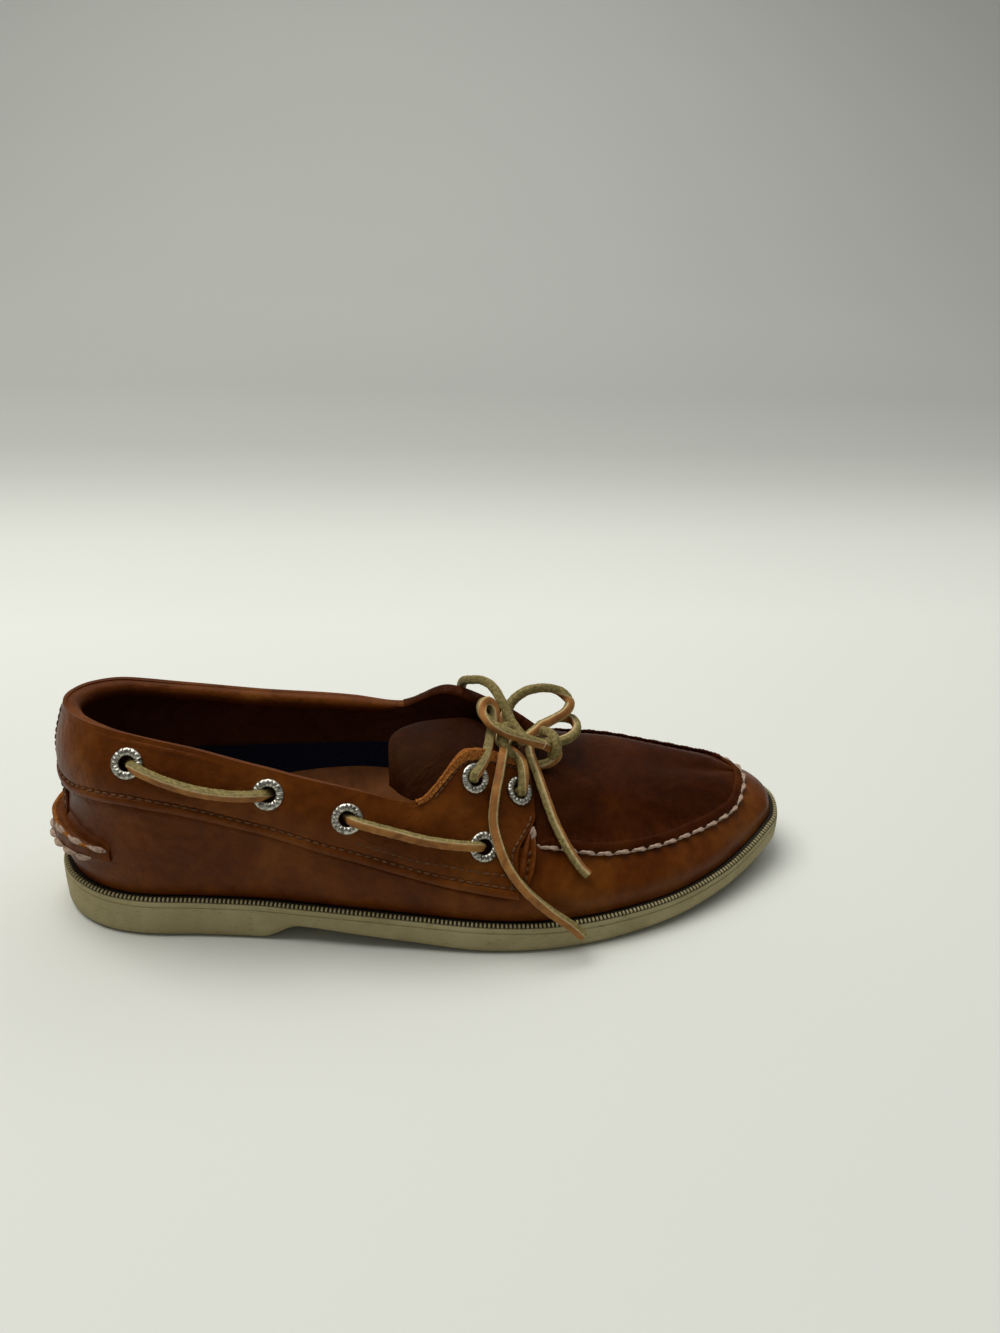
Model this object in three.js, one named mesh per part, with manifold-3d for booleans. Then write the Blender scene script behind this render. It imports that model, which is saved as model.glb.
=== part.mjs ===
// A right boat shoe of about US men's size 9, standing on its sole, as an assembly of closed solids.
// Millimetres. While it is built, +X runs from heel to toe, +Y is the medial side, +Z is up, the floor
// is z = 0 and the sole's back edge is at x = 0. The last lines move the origin to the middle of the base.
import * as THREE from "three";
import { mergeVertices } from "three/addons/utils/BufferGeometryUtils.js";
import Module from "manifold-3d";

const wasm = await Module();
wasm.setup();

// ---------------------------------------------------------------- driving dimensions
const LATERAL = -1; // the sign of y on the outer side of the foot
const MEDIAL = 1;
const SOLE_LEDGE = 3.6; // the strip of sole that shows round the foot of the upper
const SOLE_BEVEL = 1.4; // the small slope at the sole's lower edge
const GAP = 0.35; // left between pieces that touch
const WALL = 2; // leather and lining together
const COLUMNS_PER_SPAN = 2; // mesh columns between two rows of the outline
const ROWS_PER_BAND = [2, 2, 3, 3]; // mesh rows from feather to belly, mid line, crown and top line
const PLUG_CROWN = 0.11; // how far the plug swells over its chord, as a share of that chord
const INSOLE_INSET = 6.6;
const INSOLE_RISE = { lateral: 1.5, medial: 7.5 }; // how far the footbed curls up at its edges
const ARCH = { x: 112, spread: 48 }; // where along the foot it curls up most
const TONGUE_WALL = 2;
const TONGUE_STEPS = 12; // mesh steps along it and across it
const KICKER = { reach: 3.55, lip: 5.6, foot: 24, tip: 28.5, head: 43 }; // the moccasin lip round the heel
const EYELET = { flange: 5.5, hole: 2.7, barrel: 3.3, thick: 1.1, lift: 0.55, depth: 3.2, cut: 3.8 };
const LACE = 3.3; // the side of the square rawhide lace
const LACE_LIFT = EYELET.lift + EYELET.thick + GAP + 0.6 * LACE; // its centre over the skin at an eyelet
const KNOT = { centre: [177, -6, 63.8], radii: [6.6, 6, 4.4] };

// The sole's plan outline: half widths on each side at stations along the foot, toe tip last.
const OUTLINE = [
  { x: 0, lateral: 0, medial: 0 },
  { x: 2, lateral: 10, medial: 10 },
  { x: 8, lateral: 20, medial: 20 },
  { x: 19, lateral: 28.6, medial: 28.6 },
  { x: 34, lateral: 33.4, medial: 33.2 },
  { x: 54, lateral: 35.4, medial: 35.2 },
  { x: 76, lateral: 38.3, medial: 35.9 },
  { x: 90, lateral: 41.3, medial: 36.2 },
  { x: 111, lateral: 45.4, medial: 36.5 },
  { x: 131, lateral: 48.6, medial: 37.5 },
  { x: 148, lateral: 51.4, medial: 39.4 },
  { x: 163, lateral: 53, medial: 41.7 },
  { x: 178, lateral: 53.3, medial: 44.8 },
  { x: 194, lateral: 51.6, medial: 47.9 },
  { x: 210, lateral: 48, medial: 50 },
  { x: 226, lateral: 42.8, medial: 50.4 },
  { x: 241, lateral: 36, medial: 49 },
  { x: 256, lateral: 26.9, medial: 46.2 },
  { x: 269, lateral: 16.8, medial: 41.8 },
  { x: 280, lateral: 6.5, medial: 34.6 },
  { x: 286.5, lateral: -1.6, medial: 28 },
  { x: 289.5, lateral: -15, medial: 15 },
];
const SPANS = OUTLINE.length - 1;
const THROAT = 12; // the outline row where the throat ends and the plug begins

// The sole's upper and lower faces, and the footbed's thickness over the sole.
const SOLE = [
  { x: 0, top: 18.3, bottom: 0, bed: 7 },
  { x: 34, top: 16.4, bottom: 0, bed: 7.8 },
  { x: 76, top: 16, bottom: 0, bed: 8.8 },
  { x: 90, top: 15.8, bottom: 6.3, bed: 9.4 },
  { x: 111, top: 15.2, bottom: 4.6, bed: 9.6 },
  { x: 131, top: 14, bottom: 2.6, bed: 9.2 },
  { x: 163, top: 12.3, bottom: 0, bed: 7.4 },
  { x: 194, top: 11.6, bottom: 0, bed: 6.2 },
  { x: 226, top: 11.8, bottom: 0.9, bed: 5.2 },
  { x: 256, top: 13.9, bottom: 3.6, bed: 3.8 },
  { x: 269, top: 16.2, bottom: 5.3, bed: 2.8 },
  { x: 280, top: 18.8, bottom: 7, bed: 1.8 },
  { x: 289.5, top: 21.3, bottom: 8.5, bed: 1.2 },
];

// The upper's lengthwise lines on each side. In is the distance inside the sole's outline, Up the height.
// Past the throat the mid line is the moccasin seam, and crown and top belong to the plug.
const UPPER_COLUMNS = ["x", "bellyIn", "bellyUp", "midIn", "midUp", "crownIn", "crownUp", "topIn", "topUp"];
const columned = (names, rows) =>
  rows.map((row) => Object.fromEntries(row.map((value, i) => [names[i], value])));
const UPPER_LATERAL = columned(UPPER_COLUMNS, [
  [0, 3.2, 30, 5.5, 47, 5, 66, 9.5, 82.6],
  [19, 2.6, 30.5, 3, 47, 4.2, 65, 11, 80.8],
  [34, 2.2, 31, 2.1, 46.5, 3.4, 64, 11, 78.6],
  [54, 1.9, 29, 1.7, 44.4, 2.7, 61, 9.2, 75.1],
  [76, 1.8, 28, 1.7, 41.5, 2.6, 57, 8.2, 69.7],
  [111, 1.9, 26, 2.4, 37.5, 4.5, 50.4, 10.2, 61.3],
  [131, 2.1, 25, 3.3, 36.5, 6.4, 47.4, 12.1, 56.6],
  [148, 2.6, 24.5, 6.5, 37, 15.5, 54.5, 26.6, 69.9],
  [163, 3.2, 24, 11, 37.8, 23, 52.5, 34.5, 64.2],
  [178, 4, 23, 15, 37.6, 27, 48.5, 39.4, 55.5],
  [210, 4.6, 20.5, 13.8, 31.2],
  [241, 5, 20, 13.6, 29],
  [269, 5.5, 22.5, 14.6, 30.8],
  [289.5, 6.5, 27, 16, 33.4],
]);
const UPPER_MEDIAL = columned(UPPER_COLUMNS, [
  [0, 3.2, 30, 5.5, 47, 5, 66, 9.5, 82.6],
  [19, 2.6, 30.5, 3, 47, 4, 64.6, 10.8, 80],
  [34, 2.2, 31, 2, 46.5, 2.9, 63, 10.6, 76.9],
  [54, 1.8, 30, 1.4, 44.6, 2, 60, 8.6, 72.8],
  [76, 1.4, 28.5, 1, 42.5, 1.4, 57, 6, 68.6],
  [111, 1.2, 27.5, 0.5, 40.2, 0.8, 53, 2.8, 63.4],
  [131, 1.4, 27, 1.2, 40, 1.4, 51, 3.1, 60],
  [148, 2, 27, 3.2, 41, 6.5, 56.5, 12.9, 70],
  [163, 2.6, 26.8, 6, 42.6, 11.8, 55, 20.6, 65],
  [178, 3, 26.5, 9.6, 43.4, 19.6, 51.6, 30.8, 56],
  [210, 4, 25.5, 13, 41],
  [241, 5, 24, 14.5, 36.8],
  [269, 5.8, 24.5, 15.4, 34.2],
  [289.5, 6.5, 27, 16, 33.4],
]);
// The plug's crest, from the throat to the front of the moccasin seam.
const RIDGE = [
  { x: 178, y: -1, up: 57.5 },
  { x: 194, y: 0, up: 53.5 },
  { x: 210, y: 1.8, up: 49.8 },
  { x: 226, y: 4, up: 46 },
  { x: 241, y: 6.6, up: 42 },
  { x: 256, y: 10, up: 38 },
  { x: 273.5, y: 15, up: 33.4 },
];
// The tongue: half width, height on the centre line and fall at the edges.
const TONGUE = [
  { x: 124, half: 24, centre: 64.4, fall: 11 },
  { x: 128, half: 27, centre: 65.4, fall: 13 },
  { x: 140, half: 28, centre: 65.6, fall: 14 },
  { x: 152, half: 27, centre: 63, fall: 13.5 },
  { x: 164, half: 24, centre: 58.8, fall: 12 },
  { x: 176, half: 21, centre: 54, fall: 9 },
  { x: 188, half: 19, centre: 50.6, fall: 7.5 },
];
// Eyelets, by their place along the foot and their height: four along each side, two on each wing.
const EYELETS = [
  { name: "side_1", x: 34.5, up: { lateral: 70.2, medial: 68.6 } },
  { name: "side_2", x: 82, up: { lateral: 60.8, medial: 60 } },
  { name: "side_3", x: 109, up: { lateral: 53, medial: 55 } },
  { name: "side_4", x: 157, up: { lateral: 40.3, medial: 43.5 } },
  { name: "throat_5", x: 154, up: { lateral: 61.4, medial: 62 } },
  { name: "throat_6", x: 171, up: { lateral: 52.8, medial: 53.2 } },
];

// ---------------------------------------------------------------- free stretches of the lace, knot to tip
const LEAD_LATERAL = [
  [155.5, -32.4, 63.4], [157.4, -28.2, 66.9], [159.2, -23, 70.6], [160, -17, 73.2], [159.9, -12, 75.6],
  [161.4, -10, 77.2], [163.8, -11.4, 75.8], [167, -13.8, 73], [172.6, -15.6, 70], [179, -16.2, 67.9],
  [185.4, -15.4, 65.6], [190, -12.6, 64.4],
];
const LEAD_MEDIAL = [
  [155, 32.6, 63.8], [154.8, 31, 69], [155.6, 25.6, 73.8], [157.4, 19.4, 77], [161, 14, 79.4],
  [164.6, 8.8, 79.2], [167.2, 3.2, 76.6], [169.6, -1, 72.8],
];
const LOOP_UPPER = [
  [170.4, -1.6, 66.4], [170.2, 3, 70.4], [172.6, 6.4, 74], [178.4, 9.2, 76.8], [186, 11, 77],
  [192, 10.6, 75.4], [195.4, 7.6, 72.2], [193, 3.8, 69.8], [187.4, 0.6, 68.2], [182.4, -2.4, 67.6],
];
const LOOP_FRONT = [
  [184.2, -5.4, 61.6], [189, -6, 62.2], [194.4, -3.4, 62.8], [197.6, 1, 64.2], [196.2, 5.8, 65.6],
  [190.8, 8, 65], [185.6, 5.6, 63.6], [182.6, 1.8, 62.4],
];
const END_LONG = [
  [169.2, -9.4, 65.8], [167.2, -14.8, 66], [165.6, -21.2, 65.6], [163.9, -27.1, 61.5], [161.7, -33.6, 55.8],
  [160.7, -39.2, 48.4],
  [162.7, -45, 41], [166.3, -48.8, 34], [172.2, -52.2, 27], [180.4, -54.6, 20], [188, -55.8, 14.4],
  [192.9, -56.4, 9.8],
];
const END_SHORT = [
  [177.4, -13.4, 60.8], [178.8, -18.8, 57.6], [181.1, -27, 51.8], [184.3, -34, 44], [188.1, -39.6, 37.4],
  [192.4, -43.2, 31.4], [195.6, -45.4, 28.4],
];

// ---------------------------------------------------------------- finishes
const finish = (color, roughness, metalness = 0) =>
  new THREE.MeshStandardMaterial({ color, roughness, metalness });
const LEATHER = finish(0x7a3d16, 0.42);
const LINING = finish(0x8a5228, 0.6);
const RUBBER = finish(0xb3a98a, 0.7);
const RAWHIDE = finish(0xa77a35, 0.65);
const NICKEL = finish(0x8d8a83, 0.35, 0.9);

// ---------------------------------------------------------------- reading the tables
// A named column read at station x: a smooth curve through the rows that never overshoots them.
function along(rows, key, x) {
  const table = rows.filter((row) => row[key] !== undefined);
  const last = table.length - 1;
  if (x <= table[0].x) return table[0][key];
  if (x >= table[last].x) return table[last][key];
  let i = 0;
  while (x > table[i + 1].x) i += 1;
  const slope = (j) => (table[j + 1][key] - table[j][key]) / (table[j + 1].x - table[j].x);
  const tangent = (j) => {
    if (j === 0) return slope(0);
    if (j === last) return slope(last - 1);
    const product = slope(j - 1) * slope(j);
    return product <= 0 ? 0 : (2 * product) / (slope(j - 1) + slope(j));
  };
  const step = table[i + 1].x - table[i].x;
  const t = (x - table[i].x) / step;
  const rise = t * t * (3 - 2 * t);
  return (
    table[i][key] * (1 - rise) + table[i + 1][key] * rise +
    step * t * (1 - t) * (tangent(i) * (1 - t) - tangent(i + 1) * t)
  );
}

// The smooth curve through four neighbouring points, at share t of the way from b to c.
function spline(a, b, c, d, t) {
  const part = (p, q, r, s) =>
    q + 0.5 * t * (r - p + t * (2 * p - 5 * q + 4 * r - s + t * (3 * (q - r) + s - p)));
  return new THREE.Vector3(part(a.x, b.x, c.x, d.x), part(a.y, b.y, c.y, d.y), part(a.z, b.z, c.z, d.z));
}

// A point of the sole's outline, u rows along from the heel, moved in from the edge.
function plan(side, u, inset = 0) {
  const corner = (i) => {
    const row = OUTLINE[i < 0 ? -i : i > SPANS ? 2 * SPANS - i : i];
    const sign = i < 0 || i > SPANS ? -side : side;
    return new THREE.Vector3(row.x, sign * (sign === LATERAL ? row.lateral : row.medial), 0);
  };
  const i = Math.min(Math.floor(u), SPANS - 1);
  const at = (t) => spline(corner(i - 1), corner(i), corner(i + 1), corner(i + 2), t);
  const point = at(u - i);
  const ahead = at(u - i + 0.01).sub(at(u - i - 0.01)).normalize();
  return new THREE.Vector3(point.x + side * ahead.y * inset, point.y - side * ahead.x * inset, 0);
}

// The five lines that carry the upper at column u: feather, belly, mid line, crown and top.
function ribs(side, u, overPlug = u > THROAT) {
  const rows = side === LATERAL ? UPPER_LATERAL : UPPER_MEDIAL;
  const { x } = plan(side, u);
  const line = (name) => plan(side, u, along(rows, name + "In", x)).setZ(along(rows, name + "Up", x));
  const feather = plan(side, u, SOLE_LEDGE).setZ(along(SOLE, "top", x) + GAP);
  const mid = line("mid");
  if (!overPlug) return [feather, line("belly"), mid, line("crown"), line("top")];
  const share = (u - THROAT) / (SPANS - THROAT);
  const crestX = RIDGE[0].x + share * (RIDGE[RIDGE.length - 1].x - RIDGE[0].x);
  const crest = new THREE.Vector3(crestX, along(RIDGE, "y", crestX), along(RIDGE, "up", crestX));
  const crown = mid.clone().lerp(crest, 0.5);
  crown.z += PLUG_CROWN * mid.distanceTo(crest);
  return [feather, line("belly"), mid, crown, crest];
}

// A point of the upper's outer face: column u, and w = 0 at the feather to 4 at the top.
// Past the throat the moccasin seam is a corner, and the plug runs smoothly over its crest.
function skin(side, u, w) {
  const p = ribs(side, u);
  const i = Math.min(Math.floor(w), 3);
  const beyond = (end, next) => end.clone().multiplyScalar(2).sub(next);
  const corner = THREE.MathUtils.clamp((u - THROAT) / 2, 0, 1);
  const before = i === 0 ? beyond(p[0], p[1]) : p[i - 1].clone();
  const after = i < 3 ? p[i + 2].clone() : u > THROAT ? ribs(-side, u)[3] : beyond(p[4], p[3]);
  if (i === 1) after.lerp(beyond(p[2], p[1]), corner);
  if (i === 2) before.lerp(beyond(p[2], p[3]), corner);
  return spline(before, p[i], p[i + 1], after, w - i);
}

// The outward direction of the skin at that point.
function skinNormal(side, u, w) {
  const step = 0.05;
  const lengthwise = skin(side, u + step, w).sub(skin(side, u - step, w));
  const upwards = skin(side, u, Math.min(w + step, 4)).sub(skin(side, u, Math.max(w - step, 0)));
  return lengthwise.cross(upwards).multiplyScalar(-side).normalize();
}

// Where the skin is at station x and height z: walks towards it in shrinking steps.
function skinAt(side, x, z) {
  let [u, w] = [6, 3];
  const miss = (a, b) => {
    const p = skin(side, a, b);
    return Math.hypot(p.x - x, p.z - z);
  };
  for (let step = 2; step > 1e-3; step /= 1.6) {
    for (let turn = 0; turn < 12; turn += 1) {
      const tries = [[u, w], [u + step, w], [u - step, w], [u, w + step], [u, w - step]]
        .filter(([a, b]) => a >= 0.5 && a <= THROAT && b >= 0 && b <= 4)
        .sort((p, q) => miss(...p) - miss(...q));
      [u, w] = tries[0];
    }
  }
  return { point: skin(side, u, w), normal: skinNormal(side, u, w) };
}

// ---------------------------------------------------------------- mesh helpers
const toVector = ([x, y, z]) => new THREE.Vector3(x, y, z);

// Polygons over merged points: corners that meet are shared and faces that collapse are dropped.
class Skinning {
  constructor() {
    this.points = [];
    this.faces = [];
    this.index = new Map();
  }
  add(p) {
    const key = [p.x, p.y, p.z].map((v) => Math.round(v * 500)).join();
    if (!this.index.has(key)) this.index.set(key, this.points.push(p.clone()) - 1);
    return this.index.get(key);
  }
  face(...corners) {
    const ids = corners.map((p) => this.add(p)).filter((id, i, all) => id !== all[(i + 1) % all.length]);
    for (let i = 1; i + 1 < ids.length; i += 1) {
      const triangle = [ids[0], ids[i], ids[i + 1]];
      if (new Set(triangle).size === 3) this.faces.push(triangle);
    }
  }
  grid(rows) {
    for (let i = 0; i + 1 < rows.length; i += 1)
      for (let j = 0; j + 1 < rows[i].length; j += 1)
        this.face(rows[i][j], rows[i + 1][j], rows[i + 1][j + 1], rows[i][j + 1]);
  }
  geometry() {
    const made = new THREE.BufferGeometry().setIndex(this.faces.flat());
    const places = this.points.flatMap((p) => p.toArray());
    return facingOut(made.setAttribute("position", new THREE.Float32BufferAttribute(places, 3)));
  }
  // A wall of even thickness behind the faces, with rims along every open edge.
  thicken(wall) {
    const normals = this.points.map(() => new THREE.Vector3());
    for (const [a, b, c] of this.faces) {
      const ab = this.points[b].clone().sub(this.points[a]);
      const normal = ab.cross(this.points[c].clone().sub(this.points[a]));
      for (const id of [a, b, c]) normals[id].add(normal);
    }
    const outer = this.points.length;
    this.points.forEach((p, i) => {
      if (i < outer) this.points.push(p.clone().addScaledVector(normals[i].normalize(), -wall));
    });
    const edges = new Set(this.faces.flatMap(([a, b, c]) => [a + "_" + b, b + "_" + c, c + "_" + a]));
    const pairs = [...edges].map((edge) => edge.split("_").map(Number));
    const rims = pairs.filter(([a, b]) => !edges.has(b + "_" + a));
    const inner = this.faces.map(([a, b, c]) => [a + outer, c + outer, b + outer]);
    const rim = rims.flatMap(([a, b]) => [[b, a, a + outer], [b, a + outer, b + outer]]);
    this.faces.push(...inner, ...rim);
    return this;
  }
}

// Turns a closed geometry inside out when its faces point inwards.
function facingOut(geometry) {
  const { array } = geometry.attributes.position;
  const ids = geometry.index.array;
  const corner = (i) => new THREE.Vector3().fromArray(array, ids[i] * 3);
  let volume = 0;
  for (let i = 0; i < ids.length; i += 3) volume += corner(i).dot(corner(i + 1).cross(corner(i + 2)));
  if (volume < 0) for (let i = 0; i < ids.length; i += 3) [ids[i], ids[i + 1]] = [ids[i + 1], ids[i]];
  return geometry;
}

// A closed geometry with shared corners and nothing but positions.
function merged(geometry) {
  const bare = new THREE.BufferGeometry().setAttribute("position", geometry.attributes.position);
  if (geometry.index) bare.setIndex(geometry.index);
  return mergeVertices(bare, 1e-4);
}

function toSolid(geometry) {
  const { attributes, index } = merged(geometry);
  const vertProperties = attributes.position.array;
  const triVerts = new Uint32Array(index.array);
  return new wasm.Manifold(new wasm.Mesh({ numProp: 3, vertProperties, triVerts }));
}

function fromSolid(solid) {
  const { vertProperties, triVerts } = solid.getMesh();
  const made = new THREE.BufferGeometry().setIndex(new THREE.BufferAttribute(triVerts, 1));
  return made.setAttribute("position", new THREE.BufferAttribute(vertProperties, 3));
}

// A closed body from stacked rings round the shoe, { inset, z(x, across) }, with caps on the first and last.
function stacked(rings, perSpan, across) {
  const body = new Skinning();
  const columns = SPANS * perSpan;
  const at = (ring, side, j, share) => {
    const near = plan(side, j / perSpan, ring.inset);
    const far = plan(-side, j / perSpan, ring.inset);
    const p = near.clone().lerp(far, (1 - share) / 2);
    return p.setZ(ring.z(p.x, share * side));
  };
  const loop = (ring) => [
    ...Array.from({ length: columns }, (_, j) => at(ring, LATERAL, j, 1)),
    ...Array.from({ length: columns }, (_, j) => at(ring, MEDIAL, columns - j, 1)),
  ];
  const loops = rings.map((ring) => [...loop(ring), at(ring, LATERAL, 0, 1)]);
  body.grid(loops);
  const cap = (ring) =>
    Array.from({ length: across + 1 }, (_, k) =>
      Array.from({ length: columns + 1 }, (__, j) => at(ring, LATERAL, j, 1 - (2 * k) / across)),
    );
  body.grid(cap(rings[0]).reverse());
  body.grid(cap(rings[rings.length - 1]));
  return body.geometry();
}

// A closed body through sections that are polygons of the same number of points.
function lofted(sections) {
  const body = new Skinning();
  body.grid(sections.map((section) => [...section, section[0]]));
  body.face(...sections[0]);
  body.face(...[...sections[sections.length - 1]].reverse());
  return body.geometry();
}

// ---------------------------------------------------------------- the pieces
function outsole() {
  const top = (x) => along(SOLE, "top", x);
  const bottom = (x) => along(SOLE, "bottom", x);
  return stacked(
    [
      { inset: SOLE_BEVEL, z: bottom },
      { inset: 0, z: (x) => bottom(x) + SOLE_BEVEL },
      { inset: 0, z: top },
    ],
    COLUMNS_PER_SPAN,
    6,
  );
}

function insole() {
  const base = (x) => along(SOLE, "top", x) + GAP;
  const bed = (x, across) => {
    const arch = Math.max(0, Math.exp(-(((x - ARCH.x) / ARCH.spread) ** 2)) - 0.01); // none at the ends
    const rise = across < 0 ? INSOLE_RISE.lateral * arch : INSOLE_RISE.medial * arch;
    return along(SOLE, "top", x) + along(SOLE, "bed", x) + rise * Math.abs(across) ** 3;
  };
  const inset = INSOLE_INSET;
  return stacked([{ inset, z: base }, { inset, z: bed }], 1, 6);
}

function upper() {
  const rows = ROWS_PER_BAND.flatMap((count, band) =>
    Array.from({ length: count }, (_, k) => band + k / count),
  );
  rows.push(4);
  const columns = SPANS * COLUMNS_PER_SPAN;
  const cloth = new Skinning();
  for (const side of [LATERAL, MEDIAL]) {
    const column = (_, j) => rows.map((w) => skin(side, j / COLUMNS_PER_SPAN, w));
    const wall = Array.from({ length: columns + 1 }, column);
    cloth.grid(side === LATERAL ? wall : wall.reverse());
  }
  let solid = toSolid(cloth.thicken(WALL).geometry());
  for (const { point, normal } of eyeletPlaces()) {
    const drill = new THREE.CylinderGeometry(EYELET.cut, EYELET.cut, 14, 12);
    solid = solid.subtract(toSolid(drill.applyMatrix4(facing(point, normal))));
  }
  return fromSolid(solid);
}

// The tongue's rear edge is square on the lateral side and slopes forward on the medial side.
function tongue() {
  const cloth = new Skinning();
  const rearSlope = (y) => Math.min(0.035 * Math.max(y + 8, 0) ** 2, 24);
  const first = TONGUE[0].x;
  const length = TONGUE[TONGUE.length - 1].x - first;
  const rows = Array.from({ length: TONGUE_STEPS + 1 }, (_, i) => {
    const x = first + (length * i) / TONGUE_STEPS;
    return Array.from({ length: TONGUE_STEPS + 1 }, (__, j) => {
      const share = (2 * j) / TONGUE_STEPS - 1;
      const y = share * along(TONGUE, "half", x);
      const moved = x + rearSlope(y) * (1 - i / TONGUE_STEPS) ** 1.5;
      const fall = along(TONGUE, "fall", x) * Math.abs(share) ** 2.4;
      return new THREE.Vector3(moved, y, along(TONGUE, "centre", x) - fall);
    });
  });
  cloth.grid(rows);
  return cloth.thicken(TONGUE_WALL).geometry();
}

// The lip that the heel's hand-sewn seam stands on: a wedge that follows the skin and thins out at its ends.
function heelKicker() {
  const wall = (side, u, z) => {
    let [low, high] = [0, 4];
    for (let i = 0; i < 24; i += 1) {
      const middle = (low + high) / 2;
      if (skin(side, u, middle).z < z) low = middle;
      else high = middle;
    }
    return skin(side, u, low);
  };
  const outward = (side, u) => plan(side, u, 0).sub(plan(side, u, 1));
  const steps = 24;
  const sections = Array.from({ length: steps + 1 }, (_, j) => {
    const around = ((2 * j) / steps - 1) * KICKER.reach;
    const side = around < 0 ? LATERAL : MEDIAL;
    const u = Math.abs(around);
    const swell = Math.sqrt(1 - 0.97 * (u / KICKER.reach) ** 2);
    const lean = 1 - swell;
    const at = (z, out) => wall(side, u, z).addScaledVector(outward(side, u), out);
    const foot = KICKER.foot + 9 * lean;
    const tip = KICKER.tip + 7 * lean;
    const head = KICKER.head - 1.5 * lean;
    return [
      at(foot, GAP), at(tip, GAP), at((tip + head) / 2, GAP), at(head, GAP),
      at(head - 1, GAP + 0.9), at((tip + head) / 2, GAP + 1 + 2.2 * swell),
      at(tip + 1.5, GAP + 1 + KICKER.lip * swell), at(tip - 1, GAP + 1 + (KICKER.lip - 0.6) * swell),
    ];
  });
  return lofted(sections);
}

// ---------------------------------------------------------------- eyelets and lace
const facing = (point, normal) => {
  const turn = new THREE.Quaternion().setFromUnitVectors(new THREE.Vector3(0, 1, 0), normal);
  return new THREE.Matrix4().compose(point, turn, new THREE.Vector3(1, 1, 1));
};

function eyeletPlaces() {
  return [LATERAL, MEDIAL].flatMap((side) =>
    EYELETS.map(({ name, x, up }) => {
      const sideName = side === LATERAL ? "lateral" : "medial";
      return { name: "eyelet_" + name + "_" + sideName, side, ...skinAt(side, x, up[sideName]) };
    }),
  );
}

// A domed flange outside the leather and a barrel through it, turned about the eyelet's axis.
function eyelet() {
  const { flange, hole, barrel, thick, lift, depth } = EYELET;
  const profile = [
    [hole, -depth], [barrel, -depth], [barrel, lift], [flange, lift],
    [flange - 0.7, lift + thick], [hole + 0.4, lift + thick], [hole, -depth],
  ];
  return merged(new THREE.LatheGeometry(profile.map(([r, h]) => new THREE.Vector2(r, h)), 12));
}

// A square lace along a smooth curve through the given points.
function laceTube(route, steps) {
  const half = LACE / 2;
  const section = new THREE.Shape([
    new THREE.Vector2(-half, -half), new THREE.Vector2(half, -half),
    new THREE.Vector2(half, half), new THREE.Vector2(-half, half),
  ]);
  const extrudePath = new THREE.CatmullRomCurve3(route, false, "centripetal");
  return new THREE.ExtrudeGeometry(section, { steps, extrudePath });
}

// A round-sided free stretch of lace, with a step about every two and a half laces.
function cordTube(points) {
  const extrudePath = new THREE.CatmullRomCurve3(points.map(toVector), false, "centripetal");
  const section = new THREE.Shape(
    Array.from({ length: 8 }, (_, i) => {
      const angle = (Math.PI * (i + 0.5)) / 4;
      return new THREE.Vector2(Math.cos(angle), Math.sin(angle)).multiplyScalar(LACE / 2);
    }),
  );
  const steps = Math.round(extrudePath.getLength() / (1.4 * LACE));
  return new THREE.ExtrudeGeometry(section, { steps, extrudePath });
}

// The bar from one side eyelet to the next: it hangs a little and stays outside the skin.
function sideBar(side, from, to, sag, steps = 12) {
  const places = eyeletPlaces();
  const [a, b] = [from, to].map((name) => places.find((p) => p.side === side && p.name.includes(name)));
  const route = Array.from({ length: 9 }, (_, i) => {
    const t = i / 8;
    const x = THREE.MathUtils.lerp(a.point.x, b.point.x, t);
    const z = THREE.MathUtils.lerp(a.point.z, b.point.z, t) - sag * Math.sin(Math.PI * t);
    const { point, normal } = skinAt(side, x, z);
    return point.addScaledVector(normal, LACE_LIFT + 0.6 * Math.sin(Math.PI * t));
  });
  return laceTube(route, steps);
}

// The bar across the throat, over the tongue and both wings' edges.
function throatBar() {
  const places = eyeletPlaces().filter((p) => p.name.includes("throat_6"));
  const [start, end] = places.map(({ point, normal }) => point.clone().addScaledVector(normal, LACE_LIFT));
  const over = [
    [173.2, -22.6, 61], [172.2, -16, 63.6], [168.4, -8, 61.8], [167, 0, 60.8],
    [168.2, 8, 62.2], [171.8, 17, 65], [174.2, 26.8, 62.4],
  ].map(toVector);
  return laceTube([start, ...over, end], 16);
}

function knot() {
  const ball = new THREE.SphereGeometry(1, 12, 7).scale(...KNOT.radii).translate(...KNOT.centre);
  return merged(ball);
}

// ---------------------------------------------------------------- assembly
const shoe = new THREE.Group();
const place = (name, geometry, material) => {
  const mesh = new THREE.Mesh(geometry, material);
  mesh.name = name;
  shoe.add(mesh);
  return mesh;
};

place("outsole", outsole(), RUBBER);
place("upper", upper(), LEATHER);
place("tongue", tongue(), LEATHER);
place("insole", insole(), LINING);
place("heel_kicker", heelKicker(), LEATHER);
for (const { name, point, normal } of eyeletPlaces()) {
  const ring = place(name, eyelet(), NICKEL);
  ring.position.copy(point);
  ring.quaternion.setFromUnitVectors(new THREE.Vector3(0, 1, 0), normal);
}
for (const [side, sideName] of [[LATERAL, "lateral"], [MEDIAL, "medial"]]) {
  place("lace_bar_rear_" + sideName, sideBar(side, "side_1", "side_2", 3.2), RAWHIDE);
  place("lace_bar_front_" + sideName, sideBar(side, "side_3", "side_4", 0.4), RAWHIDE);
}
place("lace_throat_bar", throatBar(), RAWHIDE);
const standing = new THREE.Box3().setFromObject(shoe); // the shoe without its free lace
place("lace_knot", knot(), RAWHIDE);
place("lace_lead_lateral", cordTube(LEAD_LATERAL), RAWHIDE);
place("lace_lead_medial", cordTube(LEAD_MEDIAL), RAWHIDE);
place("lace_loop_upper", cordTube(LOOP_UPPER), RAWHIDE);
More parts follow.
